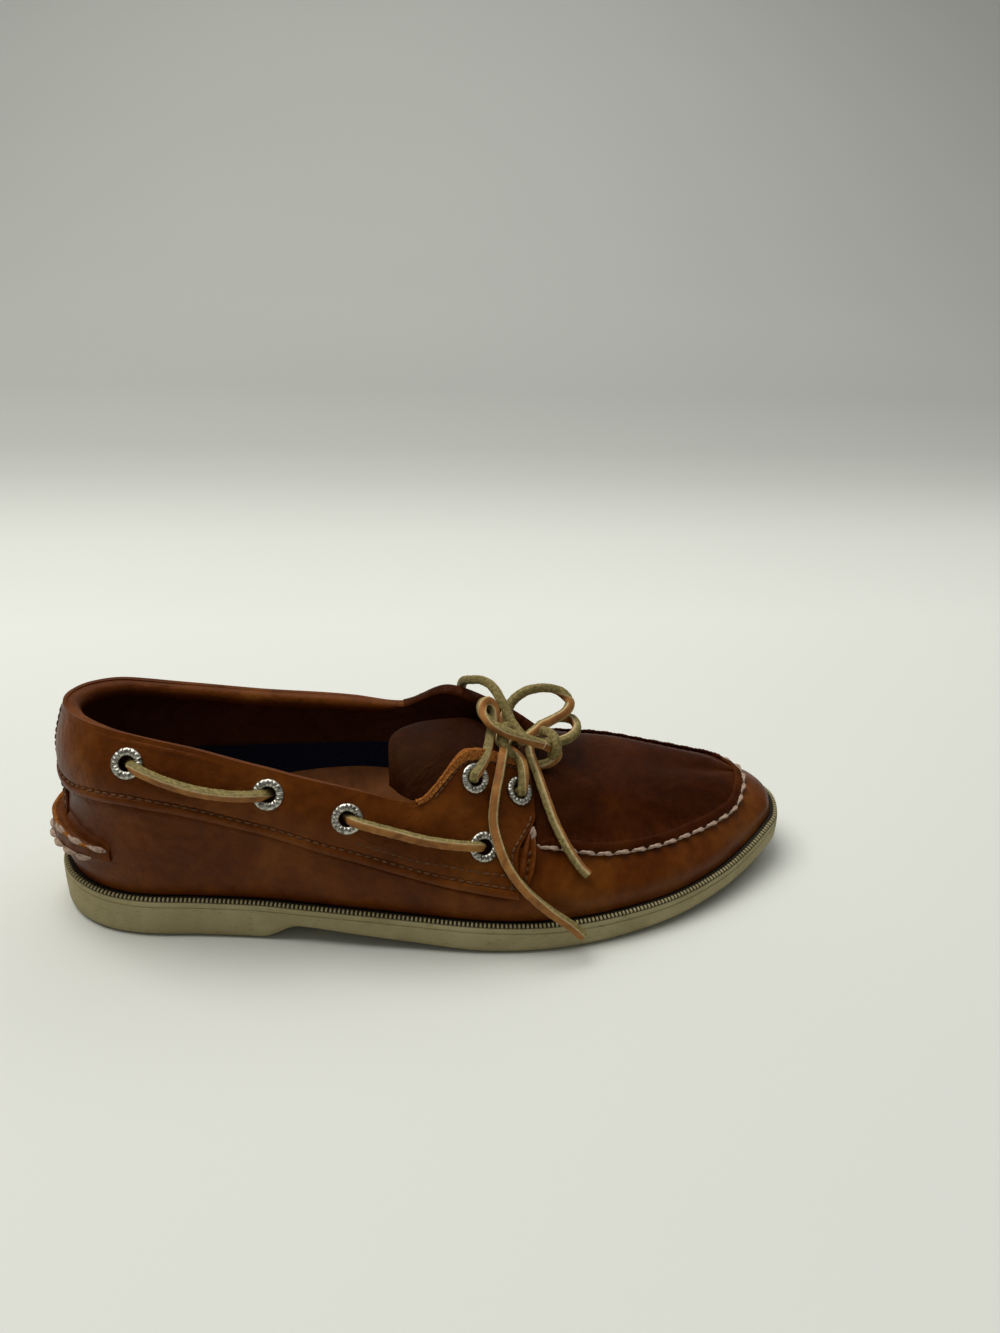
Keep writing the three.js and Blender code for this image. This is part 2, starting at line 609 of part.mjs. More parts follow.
place("lace_loop_front", cordTube(LOOP_FRONT), RAWHIDE);
place("lace_end_long", cordTube(END_LONG), RAWHIDE);
place("lace_end_short", cordTube(END_SHORT), RAWHIDE);

// The origin is the middle of the box that the shoe stands in, on the floor.
const middle = standing.getCenter(new THREE.Vector3());
shoe.position.set(-middle.x, -middle.y, -standing.min.z);

export default shoe;
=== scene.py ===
# %% [markdown]
# # A leather boat shoe
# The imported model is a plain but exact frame: sole, upper, tongue, footbed, eyelets and lace, at their true
# sizes. Each cell below makes one piece of the shoe over that frame, with its stitches, grain and wear.
# The shoe's own patterns are kept in millimetres, as a shoemaker would, and laid out in metres at the end.

# %% The frame
from math import cos, pi, radians, sin

import bpy
import numpy as np
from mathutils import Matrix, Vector


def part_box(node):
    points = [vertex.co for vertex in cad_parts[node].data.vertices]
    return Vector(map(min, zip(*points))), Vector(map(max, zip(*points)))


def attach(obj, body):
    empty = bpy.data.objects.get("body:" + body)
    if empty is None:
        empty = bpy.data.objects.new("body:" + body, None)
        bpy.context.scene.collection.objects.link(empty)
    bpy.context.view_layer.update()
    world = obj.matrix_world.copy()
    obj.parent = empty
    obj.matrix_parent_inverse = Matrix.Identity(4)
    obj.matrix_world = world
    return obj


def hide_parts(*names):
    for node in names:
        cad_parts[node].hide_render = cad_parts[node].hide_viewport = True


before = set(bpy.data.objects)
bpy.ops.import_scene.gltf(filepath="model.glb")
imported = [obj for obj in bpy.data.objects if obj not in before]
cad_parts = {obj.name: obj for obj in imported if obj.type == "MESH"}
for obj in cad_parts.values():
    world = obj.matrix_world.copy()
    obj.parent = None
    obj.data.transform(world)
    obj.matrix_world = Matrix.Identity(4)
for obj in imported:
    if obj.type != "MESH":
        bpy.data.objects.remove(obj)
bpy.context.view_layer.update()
bpy.ops.object.select_all(action="DESELECT")

# %% [markdown]
# The outline of the sole is the shoe's master curve. It is a closed loop of stations: the heel's back edge
# first, then forward along the outer (lateral) side to the toe tip, and back along the inner (medial) side.
# A leather pattern is always cut to such a line, so every piece here takes its place from it.

# %% The outline and the curves through it
OUTLINE = np.array([  # x along the foot, half width on the lateral side, half width on the medial side
    [0, 0, 0], [2, 10, 10], [8, 20, 20], [19, 28.6, 28.6], [34, 33.4, 33.2], [54, 35.4, 35.2],
    [76, 38.3, 35.9], [90, 41.3, 36.2], [111, 45.4, 36.5], [131, 48.6, 37.5], [148, 51.4, 39.4],
    [163, 53, 41.7], [178, 53.3, 44.8], [194, 51.6, 47.9], [210, 48, 50], [226, 42.8, 50.4],
    [241, 36, 49], [256, 26.9, 46.2], [269, 16.8, 41.8], [280, 6.5, 34.6], [286.5, -1.6, 28],
    [289.5, -15, 15],
])
SPANS = len(OUTLINE) - 1
THROAT = 12  # the station where the throat ends and the plug begins
STATIONS = np.vstack([
    np.c_[OUTLINE[:, 0], -OUTLINE[:, 1]],
    np.c_[OUTLINE[:0:-1, 0], OUTLINE[:0:-1, 2]][1:],
])
print("outline", len(STATIONS), "stations")

# %% [markdown]
# Two kinds of curve are used. A spline through points gives round shapes, and a curve that never overshoots its
# rows gives heights and widths. The outline is a spline, and it can be moved in by an inset.

# %% Curves through points


def spline(a, b, c, d, t):
    """The smooth curve through four neighbouring points, at share t of the way from b to c."""
    return b + 0.5 * t * (c - a + t * (2 * a - 5 * b + 4 * c - d + t * (3 * (b - c) + d - a)))


def unit(vectors):
    """The vectors at length one."""
    return vectors / np.maximum(np.linalg.norm(vectors, axis=1, keepdims=True), 1e-9)


def run_length(points):
    """How far along a line each of its points is."""
    return np.r_[0, np.cumsum(np.linalg.norm(np.diff(points, axis=0), axis=1))]


def outline(a, inset=0.0):
    """Points of the sole's outline, moved in by inset. a is positive on the lateral side."""
    first = np.floor(a).astype(int)

    def at(t):
        near = [STATIONS[(first + k) % len(STATIONS)] for k in (-1, 0, 1, 2)]
        return spline(*near, t[:, None])

    t = a - first
    ahead = unit(at(t + 0.01) - at(t - 0.01))
    return at(t) + np.c_[-ahead[:, 1], ahead[:, 0]] * np.broadcast_to(inset, a.shape)[:, None]


def read(table, where, at):
    """A table's columns, whose rows stand at places where, read at other places."""
    return np.column_stack([np.interp(at, where, column) for column in np.asarray(table, float).T])


def along(table, column, x):
    """A column of a table read at x: a smooth curve that never overshoots its rows."""
    xs, ys = np.array([(row[0], row[column]) for row in table if len(row) > column], float).T
    x = np.clip(x, xs[0], xs[-1])
    step, rise = np.diff(xs), np.diff(ys) / np.diff(xs)
    product, total = rise[:-1] * rise[1:], rise[:-1] + rise[1:]
    inner = np.where(product > 0, 2 * product / np.where(total == 0, 1, total), 0)
    tangent = np.r_[rise[0], inner, rise[-1]]
    i = np.clip(np.searchsorted(xs, x, side="right") - 1, 0, len(xs) - 2)
    t = (x - xs[i]) / step[i]
    blend = t * t * (3 - 2 * t)
    bow = step[i] * t * (1 - t) * (tangent[i] * (1 - t) - tangent[i + 1] * t)
    return ys[i] * (1 - blend) + ys[i + 1] * blend + bow

print("outline at the toe tip", outline(np.array([float(SPANS)])).round(1).tolist())

# %% [markdown]
# The frame's origin is under the middle of the shoe's box, and a shoemaker measures from the back of the heel. The
# outsole's box says how far apart the two are.

# %% From shoe millimetres to metres
low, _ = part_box("outsole")
widest = outline(np.linspace(0, 2 * SPANS, 2000))[:, 1].min()
HOME = np.array([-low.x * 1000, widest - low.y * 1000, 0])  # the frame's origin, in shoe millimetres


def to_row(points):
    """Shoe millimetres to the frame's metres."""
    return (np.asarray(points, float) - HOME) / 1000


print("origin at", HOME.round(2))

# %% [markdown]
# The camera stands in front of the shoe's outer side and looks down on it, a little turned and rolled, with a
# wide lens from close by. Near things then look larger than far ones, as they do to an eye at that place.

# %% Camera
bpy.ops.object.camera_add(location=to_row([118.17, -350.19, 257.93]),
                          rotation=[radians(v) for v in (64.811, -2.144, -6.789)])
camera = bpy.context.object
camera.data.lens = 28.117
camera.data.clip_start = 0.01
bpy.context.scene.camera = camera
bpy.context.scene.view_settings.view_transform = "Standard"
print("camera at", [round(v, 3) for v in camera.location], "lens", round(camera.data.lens, 1))

# %% [markdown]
# A material is a small graph of nodes. These helpers make one node or one whole finish at a time. Colours that
# vary over the surface come from noise read in Object coordinates, so they stay put when the view moves.

# %% Helpers for finishes


def add_node(material, kind, **settings):
    """A node of that kind in the material, with its settings."""
    node = material.node_tree.nodes.new(kind)
    for key, value in settings.items():
        setattr(node, key, value)
    return node


def link(material, source, target):
    material.node_tree.links.new(source, target)


def new_finish(name, **constants):
    """A material with its shader's own sockets set, and the shader."""
    material = bpy.data.materials.new(name)
    material.use_nodes = True
    shader = material.node_tree.nodes["Principled BSDF"]
    for key, value in constants.items():
        shader.inputs[key.replace("_", " ")].default_value = value
    return material, shader


def noise(material, scale, detail=4, distortion=0.0, stretch=(1, 1, 1)):
    """Noise in Object coordinates. scale is in cycles per metre."""
    mapping = add_node(material, "ShaderNodeMapping")
    mapping.inputs["Scale"].default_value = stretch
    link(material, add_node(material, "ShaderNodeTexCoord").outputs["Object"], mapping.inputs["Vector"])
    texture = add_node(material, "ShaderNodeTexNoise")
    for key, value in (("Scale", scale), ("Detail", detail), ("Distortion", distortion)):
        texture.inputs[key].default_value = value
    link(material, mapping.outputs["Vector"], texture.inputs["Vector"])
    return texture.outputs["Fac"]


def ramp(material, factor, stops):
    """A colour ramp through (position, colour) stops."""
    node = add_node(material, "ShaderNodeValToRGB")
    elements = node.color_ramp.elements
    while len(elements) < len(stops):
        elements.new(0.5)
    for element, (position, colour) in zip(elements, stops):
        element.position = position
        element.color = (*colour, 1)
    link(material, factor, node.inputs["Fac"])
    return node.outputs["Color"]

print("materials so far", len(bpy.data.materials))

# %% [markdown]
# The finer helpers stretch a value, mix two colours and stack bumps. A bump's depth is in metres, so leather grain
# is a few tenths of a thousandth.

# %% Helpers for values, mixes and bumps


def grey(material, factor, low, high):
    """The factor stretched to run from low to high."""
    node = add_node(material, "ShaderNodeMapRange")
    node.inputs["To Min"].default_value = low
    node.inputs["To Max"].default_value = high
    link(material, factor, node.inputs["Value"])
    return node.outputs["Result"]


def mix(material, factor, first, second, blend="MIX"):
    """Two colours mixed by a factor, which may be a number."""
    node = add_node(material, "ShaderNodeMix", data_type="RGBA", blend_type=blend)
    if isinstance(factor, float):
        node.inputs["Factor"].default_value = factor
    else:
        link(material, factor, node.inputs["Factor"])
    link(material, first, node.inputs["A"])
    link(material, second, node.inputs["B"])
    return node.outputs["Result"]


def bump(material, shader, *layers):
    """Bump from (height, depth in metres) layers, coarse first."""
    before = None
    for height, depth in layers:
        node = add_node(material, "ShaderNodeBump")
        node.inputs["Distance"].default_value = depth
        link(material, height, node.inputs["Height"])
        if before is not None:
            link(material, before, node.inputs["Normal"])
        before = node.outputs["Normal"]
    link(material, before, shader.inputs["Normal"])

# %% [markdown]
# The floor and the wall behind are one pale sheet of paper. It is a plane, subdivided and swept up at the back in
# a parabola, so no corner shows. Its colour is painted darker where it turns up and lighter again higher on the
# wall: painted shade for the light's fall-off there. The light is large and soft.

# %% Floor, wall and light
bpy.ops.mesh.primitive_plane_add(size=12, location=(0, 0.8, 0))
floor = bpy.context.object
floor.name = "floor"
bpy.ops.object.mode_set(mode="EDIT")
bpy.ops.mesh.subdivide(number_cuts=15)
bpy.ops.object.mode_set(mode="OBJECT")
SWEEP_START, SWEEP_RISE, SWEEP_TOP = 0.7, 0.9, 3.0
for corner in floor.data.vertices:
    beyond = max(0.0, corner.co.y - SWEEP_START)
    corner.co.z = min(beyond * beyond * SWEEP_RISE, SWEEP_TOP)
bpy.ops.object.modifier_add(type="SUBSURF")
smoother = floor.modifiers[-1]
smoother.levels = smoother.render_levels = 2
bpy.ops.object.modifier_apply(modifier=smoother.name)
bpy.ops.object.shade_smooth()
pale, pale_shader = new_finish("pale_paper", Roughness=0.85)
paper = ramp(pale, noise(pale, 1.4), [(0.3, (0.765, 0.772, 0.715)), (0.7, (0.79, 0.797, 0.738))])
depth = add_node(pale, "ShaderNodeSeparateXYZ")
link(pale, add_node(pale, "ShaderNodeTexCoord").outputs["Object"], depth.inputs["Vector"])
away = add_node(pale, "ShaderNodeMapRange")
away.inputs["From Min"].default_value, away.inputs["From Max"].default_value = -3, 3
link(pale, depth.outputs["Y"], away.inputs["Value"])
# Painted shade: the paper's colour is multiplied darker from just before the turn up the wall, and lighter again
# higher up.
SWEEP_PAINTED_SHADE = [(0.355, 0.93), (0.41, 1.0), (0.438, 0.91), (0.452, 0.81), (0.468, 0.69), (0.488, 0.61), (0.54, 0.6),
                (0.6, 0.69), (0.8, 0.9)]
shade = ramp(pale, away.outputs["Result"], [(k, (v, v * 1.002, v * 0.995)) for k, v in SWEEP_PAINTED_SHADE])
link(pale, mix(pale, 1.0, paper, shade, "MULTIPLY"), pale_shader.inputs["Base Color"])
floor.data.materials.append(pale)

for name, place, size, power, colour in [
    ("window", (-0.65, 0.2, 1.8), 1.4, 29, (1, 0.985, 0.95)),
    ("ceiling", (0.5, 0.7, 1.9), 2.2, 14.5, (0.96, 0.98, 1)),
]:
    bpy.ops.object.light_add(type="AREA", location=place)
    lamp = bpy.context.object
    lamp.name = name
    lamp.data.size = size
    lamp.data.energy = power
    lamp.data.color = colour
    lamp.rotation_euler = (Vector((0, 0, 0.03)) - lamp.location).to_track_quat("-Z", "Y").to_euler()
world = bpy.data.worlds.new("room")
world.use_nodes = True
background = world.node_tree.nodes["Background"].inputs
background["Color"].default_value, background["Strength"].default_value = (0.86, 0.88, 0.86, 1), 0.2
bpy.context.scene.world = world
print("floor", [round(v, 1) for v in floor.dimensions], "m")

# %% [markdown]
# A leather panel starts as a grid primitive with enough corners to bend, and its corners are laid on the skin.
# The Solidify modifier then gives it the thickness of leather, and Bevel rounds the cut edge where it shows.
# These helpers read and set corners, and run steps of edit mode or one modifier on a piece.

# %% Helpers for shaping


def corners(piece):
    """The piece's corners as rows."""
    flat = np.empty(len(piece.data.vertices) * 3)
    piece.data.vertices.foreach_get("co", flat)
    return flat.reshape(-1, 3)


def set_corners(piece, points):
    piece.data.vertices.foreach_set("co", np.asarray(points, float).ravel())
    piece.data.update()


def pick(piece):
    """Select the piece alone, in Object mode."""
    if bpy.context.mode != "OBJECT":
        bpy.ops.object.mode_set(mode="OBJECT")
    bpy.ops.object.select_all(action="DESELECT")
    piece.select_set(True)
    bpy.context.view_layer.objects.active = piece


def edit(piece, *steps):
    """Edit-mode steps on the whole piece."""
    pick(piece)
    bpy.ops.object.mode_set(mode="EDIT")
    bpy.ops.mesh.select_all(action="SELECT")
    for step in steps:
        step()
    bpy.ops.object.mode_set(mode="OBJECT")


def merge_corners():
    bpy.ops.mesh.remove_doubles(threshold=0.00002)


def shape_with(piece, kind, **settings):
    """Add a modifier and apply it."""
    pick(piece)
    bpy.ops.object.modifier_add(type=kind)
    modifier = piece.modifiers[-1]
    for key, value in settings.items():
        setattr(modifier, key, value)
    bpy.ops.object.modifier_apply(modifier=modifier.name)

print("corners of the floor", len(corners(floor)))

# %% [markdown]
# A panel is laid by one function, spot, that says where each share (s, t) of the grid goes. A finished piece rides
# on the frame's root body and names the plain part that it stands for.

# %% A panel from grid to finished piece


def lay(name, columns, rows, spot):
    """A grid primitive laid out by spot(s, t), with s and t from 0 to 1, in shoe millimetres."""
    bpy.ops.object.select_all(action="DESELECT")
    bpy.ops.mesh.primitive_grid_add(x_subdivisions=columns, y_subdivisions=rows, size=2)
    piece = bpy.context.object
    piece.name = piece.data.name = name
    flat = corners(piece)
    set_corners(piece, to_row(spot((flat[:, 0] + 1) / 2, (flat[:, 1] + 1) / 2)))
    edit(piece, merge_corners)
    return piece


def thicken(piece, millimetres, offset=-1.0):
    """The thickness of leather, behind the surface unless offset is 1."""
    shape_with(piece, "SOLIDIFY", thickness=millimetres / 1000, offset=offset, use_even_offset=False)


def done(piece, material, slot, *stands_for, angle=50):
    """The finish, the ride on the frame, and what the piece stands for."""
    piece.data.materials.clear()
    piece.data.materials.append(material)
    pick(piece)
    bpy.ops.object.shade_smooth_by_angle(angle=radians(angle))
    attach(piece, "root")
    if stands_for:
        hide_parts(*stands_for)
    print(piece.name, len(piece.data.polygons), "faces,", [round(v * 1000, 1) for v in piece.dimensions])
    return piece


print("heel's back at", to_row([0, 0, 0]).round(4).tolist(), "m")

# %% [markdown]
# The lace is one strip of rawhide, cut square. Its grain side is smooth and orange-brown, the other three sides
# are olive suede, and the cut corners are paler. A tube swept along the lace's route keeps that square section:
# each ring of corners is turned so that the grain side looks where a leading direction says.

# %% The lace's finish and its sweep
LACE = 3.3  # the side of the square, in millimetres
LACE_RING = np.array([
    [-1, -0.62], [-0.86, -0.86], [-0.62, -1], [0, -1.04], [0.62, -1], [0.86, -0.86], [1, -0.62], [1.04, 0],
    [1, 0.62], [0.86, 0.86], [0.62, 1], [0, 1.04], [-0.62, 1], [-0.86, 0.86], [-1, 0.62], [-1.04, 0],
]) * LACE / 2  # first number along the grain side, second towards it

rawhide, rawhide_shader = new_finish("rawhide_lace", Roughness=0.72, Specular_IOR_Level=0.3)
around = add_node(rawhide, "ShaderNodeSeparateXYZ")
link(rawhide, add_node(rawhide, "ShaderNodeTexCoord").outputs["UV"], around.inputs["Vector"])
grain_side = ramp(rawhide, noise(rawhide, 160, distortion=0.6), [
    (0.3, (0.2, 0.072, 0.014)), (0.55, (0.33, 0.135, 0.028)), (0.75, (0.42, 0.2, 0.05))])
suede_side = ramp(rawhide, noise(rawhide, 900, detail=6), [
    (0.3, (0.11, 0.085, 0.022)), (0.6, (0.25, 0.19, 0.062)), (0.75, (0.36, 0.28, 0.1))])
which_side = ramp(rawhide, around.outputs["X"], [
    (0.0, (0, 0, 0)), (0.59, (0, 0, 0)), (0.63, (1, 1, 1)), (0.86, (1, 1, 1)), (0.9, (0, 0, 0))])
cut_corner = ramp(rawhide, around.outputs["X"], [
    (0.55, (0, 0, 0)), (0.6, (1, 1, 1)), (0.65, (0, 0, 0)), (0.84, (0, 0, 0)), (0.89, (1, 1, 1)), (0.94, (0, 0, 0))])
sides = mix(rawhide, which_side, suede_side, grain_side)
pale_cut = ramp(rawhide, noise(rawhide, 700), [(0.3, (0.42, 0.3, 0.13)), (0.7, (0.62, 0.48, 0.25))])
link(rawhide, mix(rawhide, cut_corner, sides, pale_cut), rawhide_shader.inputs["Base Color"])
bump(rawhide, rawhide_shader, (noise(rawhide, 350, detail=5), 0.0003), (noise(rawhide, 1800), 0.00015))
print("lace finish", rawhide.name)

# %% [markdown]
# A lace is swept by hand: a smooth line through the route's points, a square section at each step, and a leading
# direction that says where the grain side looks. The corners of the section are a little ragged, as cut hide is.

# %% Sweeping the lace


def through(points, step):
    """A smooth line through points, resampled every step, and its directions."""
    points = np.asarray(points, float)
    padded = np.vstack([2 * points[0] - points[1], points, 2 * points[-1] - points[-2]])
    t = np.linspace(0, 1, 24, endpoint=False)[:, None]
    dense = np.vstack([spline(*padded[i:i + 4], t) for i in range(len(points) - 1)] + [points[-1:]])
    length = run_length(dense)
    places = np.linspace(0, length[-1], max(int(length[-1] / step), 4) + 1)
    line = read(dense, length, places)
    return line, unit(np.gradient(line, axis=0)), places


def blend_directions(leads, count):
    """Leading directions given at equal shares of a route, filled in between."""
    return read(leads, np.arange(len(leads)), np.linspace(0, len(leads) - 1, count))


def new_mesh(name, points, faces):
    mesh = bpy.data.meshes.new(name)
    mesh.from_pydata([tuple(p) for p in points], [], faces)
    mesh.validate()
    piece = bpy.data.objects.new(name, mesh)
    bpy.context.scene.collection.objects.link(piece)
    return piece


def sweep_lace(name, route, leads, step=0.9, raggedness=0.05):
    """A square lace along a route in shoe millimetres, its grain side towards the leading directions."""
    line, ahead, places = through(route, step)
    lead = blend_directions(leads, len(line))
    lead = unit(lead - ahead * (lead * ahead).sum(1, keepdims=True))
    beside = np.cross(lead, ahead)
    ring, turns = len(LACE_RING), len(line)
    wobble = 1 + raggedness * np.sin(places[:, None] * 1.7 + np.arange(ring) * 2.1) * np.sin(places[:, None] * 0.63)
    rings = (line[:, None] + beside[:, None] * (LACE_RING[:, 0] * wobble)[..., None]
             + lead[:, None] * (LACE_RING[:, 1] * wobble)[..., None])
    points = to_row(np.vstack([rings.reshape(-1, 3), line[:1], line[-1:]]))
    faces, shares = [], []
    for i in range(turns - 1):
        for k in range(ring):
            j = (k + 1) % ring
            faces.append((i * ring + k, i * ring + j, (i + 1) * ring + j, (i + 1) * ring + k))
            shares.append([(k, i), (k + 1, i), (k + 1, i + 1), (k, i + 1)])
    for k in range(ring):
        j, last = (k + 1) % ring, (turns - 1) * ring
        faces.append((ring * turns, j, k))
        faces.append((ring * turns + 1, last + k, last + j))
        shares += [[(9.8, 0)] * 3, [(9.8, turns - 1)] * 3]
    piece = new_mesh(name, points, faces)
    uv = piece.data.uv_layers.new(name="lace_side")
    flat = [(k / ring, places[i] / 1000) for face in shares for k, i in face]
    uv.data.foreach_set("uv", np.array(flat, np.float32).ravel())
    edit(piece, bpy.ops.mesh.normals_make_consistent)
    return done(piece, rawhide, "rawhide"), to_row(line), places[-1]


print("lace section", len(LACE_RING), "corners")

# %% [markdown]
# Six stretches of the lace are free: two leads come up from the throat's top eyelets to the knot, two loops make
# the bow, and two ends hang down over the outer side. They are cords of known length, and each is listed with
# its route, the leading directions of its grain side and what is on its far end.

# %% The free lace
FREE_LACE = {
    "lead_lateral": ([
        [154, -32.4, 63.8], [156.5, -28.5, 65], [159, -24, 67.2], [160.6, -18.6, 69], [162, -13, 70.8],
        [163.6, -8.6, 73.6], [163.8, -5.6, 77], [161.8, -4.8, 79.8], [159.2, -6.8, 79.8], [158.8, -10.6, 77.8],
        [161.8, -14.6, 75.4], [166.2, -17, 73.6], [171.5, -17.6, 71.5], [177.5, -17.2, 69], [183.5, -15, 65.6]],
        [[1, -0.3, 0.2], [1, -0.5, 0], [0.5, -1, 0.4], [-0.3, -1, -0.3], [0.1, -1, 0.2]], "knot"),
    "lead_medial": ([
        [155, 32.6, 63.8], [154.8, 31, 69], [155.6, 25.6, 73.8], [157.4, 19.4, 77], [161, 14, 79.4],
        [164.6, 8.8, 79.2], [167.2, 3.2, 76.6], [169.6, -1, 72.8]],
        [[1, 0.4, 0], [1, 0.3, -0.2], [0.6, 0.2, -1]], "knot"),
    "loop_upper": ([
        [170.4, -1.6, 66.4], [170.2, 3, 70.4], [172.6, 6.4, 74], [178.4, 9.2, 76.8], [186, 11, 77],
        [192, 10.6, 75.4], [195.4, 7.6, 72.2], [193, 3.8, 69.8], [187.4, 0.6, 68.2], [182.4, -2.4, 67.6]],
        [[1, 0.2, -0.4], [0.6, 0, -0.8], [-0.2, -0.4, -1], [0.3, -1, 0.3], [0.3, -1, 0.2]], "knot"),
    "loop_front": ([
        [184.2, -5.4, 61.6], [189, -6, 62.2], [194.4, -3.4, 62.8], [197.6, 1, 64.2], [196.2, 5.8, 65.6],
        [190.8, 8, 65], [185.6, 5.6, 63.6], [182.6, 1.8, 62.4]],
        [[0, 1, 0], [-1, 0.2, 0], [-0.6, -0.8, 0]], "knot"),
    "end_long": ([
        [169.2, -9.4, 65.8], [167.2, -14.8, 66], [165.6, -21.2, 65.6], [163.9, -27.1, 61.5], [161.7, -33.6, 55.8],
        [160.7, -39.2, 48.4], [162.7, -45, 41], [166.3, -48.8, 34], [172.2, -52.2, 27], [180.4, -54.6, 20],
        [188, -55.8, 14.4], [192.9, -56.4, 9.8]],
        [[-0.2, -1, 1], [0, -1, 0.8], [0.1, -1, 0.5], [-0.1, -1, 0.4], [-0.3, -1, 0]], "bare"),
    "end_short": ([
        [177.4, -13.4, 60.8], [178.8, -18.8, 57.6], [181.1, -27, 51.8], [184.3, -34, 44], [188.1, -39.6, 37.4],
        [192.4, -43.2, 31.4], [195.6, -45.4, 28.4]],
        [[1, -0.1, 0.5], [1, -0.3, 0.2], [1, 0, 0.4]], "bare"),
}
knot, _, _ = sweep_lace("lace_knot_rawhide", [
    [181, -16.6, 67.4], [184, -15, 65], [187, -13.2, 62.4], [187.4, -12.2, 58.8], [183.8, -12.4, 56.4],
    [178, -13, 56.4], [172.6, -15.6, 60], [168, -18, 65.4], [166, -16, 69.4], [166.5, -12, 71], [168.5, -8, 70.4],
    [172, -5, 67]],
    [[0.1, -1, 0.2], [0.7, -0.8, 0], [0.3, -0.3, -1], [0, 0.5, -1], [-0.4, 0.6, -0.6], [0, 0.3, -1]])
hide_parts("lace_knot")
for name, (route, leads, far_end) in FREE_LACE.items():
    piece, line, length = sweep_lace("lace_" + name + "_rawhide", route, leads)
    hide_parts("lace_" + name)
    print(piece.name, round(length, 1), "mm")

# %% [markdown]
# The knot is drawn as the strands that show: a wrap that turns round the crossing lace and comes back under it,
# and the short tails that carry the loops and the ends into its middle.

# %% The knot
for name, route, leads in (
    ("upper_start", [[170.4, -1.6, 66.4], [171.4, -4.4, 64.4], [174.6, -7.6, 62.4]], [[1, 0.2, -0.4], [1, 0, 0]]),
    ("upper_end", [[182.8, -2.2, 67.7], [180.6, -4.6, 67.2], [177, -8.4, 66.6], [173.4, -11.4, 65.6]],
     [[0.3, -1, 0.2], [0.3, -1, 0.2]]),
    ("front_start", [[184.2, -5.4, 61.6], [180, -6, 61.8], [175.6, -7, 63]], [[0, 1, 0], [0, 1, 0]]),
    ("front_end", [[183, 2.4, 62.5], [181, -0.4, 62.6], [177, -4, 64]], [[-0.6, -0.8, 0], [-0.6, -0.8, 0]]),
    ("medial_end", [[169.4, -0.6, 73], [171, -4, 70.4], [174, -8, 67.4], [176.4, -10, 64.4]],
     [[0.6, 0.2, -1], [0.6, 0.2, -1]]),
    ("short_end", [[176.4, -7, 66.4], [176.9, -10.6, 64], [177.4, -13.6, 60.6]], [[1, -0.1, 0.5], [1, -0.1, 0.5]]),
    ("patch", [[182, -9, 69], [184.6, -12.6, 69.6], [186.2, -16.6, 68.4], [186.4, -17.4, 65], [185, -15, 61.4]],
     [[0.3, 0.9, -0.4], [0.2, 0.9, -0.3], [-0.3, 0.9, 0.1]]),
    ("long_end", [[173.6, -6, 65.6], [171, -7.4, 65.8], [169, -9.8, 65.8]], [[-0.2, -1, 1], [-0.2, -1, 1]]),
):
    sweep_lace("lace_knot_" + name, route, leads)

# %% [markdown]
# The upper is one curved surface, the skin, that every leather panel is laid on. Five lines run along it: the
# feather where it meets the sole, the belly, a middle line, the crown and the top. In the forepart the middle
# line is the moccasin seam, and the last two lines carry the plug over the toes. Tables give the lines at
# stations from heel to toe, as a last maker measures a last.

# %% The last's measures
SIDES = (("lateral", 1), ("medial", -1))  # each side's name, and the sign of the places a on it
SOLE_LEDGE, FEATHER_GAP, PLUG_CROWN = 3.6, 0.35, 0.11
SOLE = np.array([  # x, upper face, lower face, footbed over the upper face
    [0, 18.3, 0, 7], [34, 16.4, 0, 7.8], [76, 16, 0, 8.8], [90, 15.8, 6.3, 9.4], [111, 15.2, 4.6, 9.6],
    [131, 14, 2.6, 9.2], [163, 12.3, 0, 7.4], [194, 11.6, 0, 6.2], [226, 11.8, 0.9, 5.2],
    [256, 13.9, 3.6, 3.8], [269, 16.2, 5.3, 2.8], [280, 18.8, 7, 1.8], [289.5, 21.3, 8.5, 1.2],
])
LINES_LATERAL = [  # x, then how far in from the outline and how high: belly, middle, crown, top
    [0, 3.2, 30, 5.5, 47, 5, 66, 9.5, 82.6],
    [19, 2.6, 30.5, 3, 47, 4.2, 65, 11, 80.8],
    [34, 2.2, 31, 2.1, 46.5, 3.4, 64, 11, 78.6],
    [54, 1.9, 29, 1.7, 44.4, 2.7, 61, 9.2, 75.1],
    [76, 1.8, 28, 1.7, 41.5, 2.6, 57, 8.2, 69.7],
    [111, 1.9, 26, 2.4, 37.5, 4.5, 50.4, 10.2, 61.3],
    [131, 2.1, 25, 3.3, 36.5, 6.4, 47.4, 12.1, 56.6],
    [148, 2.6, 24.5, 6.5, 37, 15.5, 54.5, 26.6, 69.9],
    [163, 3.2, 24, 11, 37.8, 23, 52.5, 34.5, 64.2],
    [178, 4, 23, 15, 37.6, 27, 48.5, 39.4, 55.5],
    [210, 4.6, 20.5, 13.8, 31.2],
    [241, 5, 20, 13.6, 29],
    [269, 5.5, 22.5, 12, 30],
    [289.5, 6.5, 27, 17, 33.4],
]
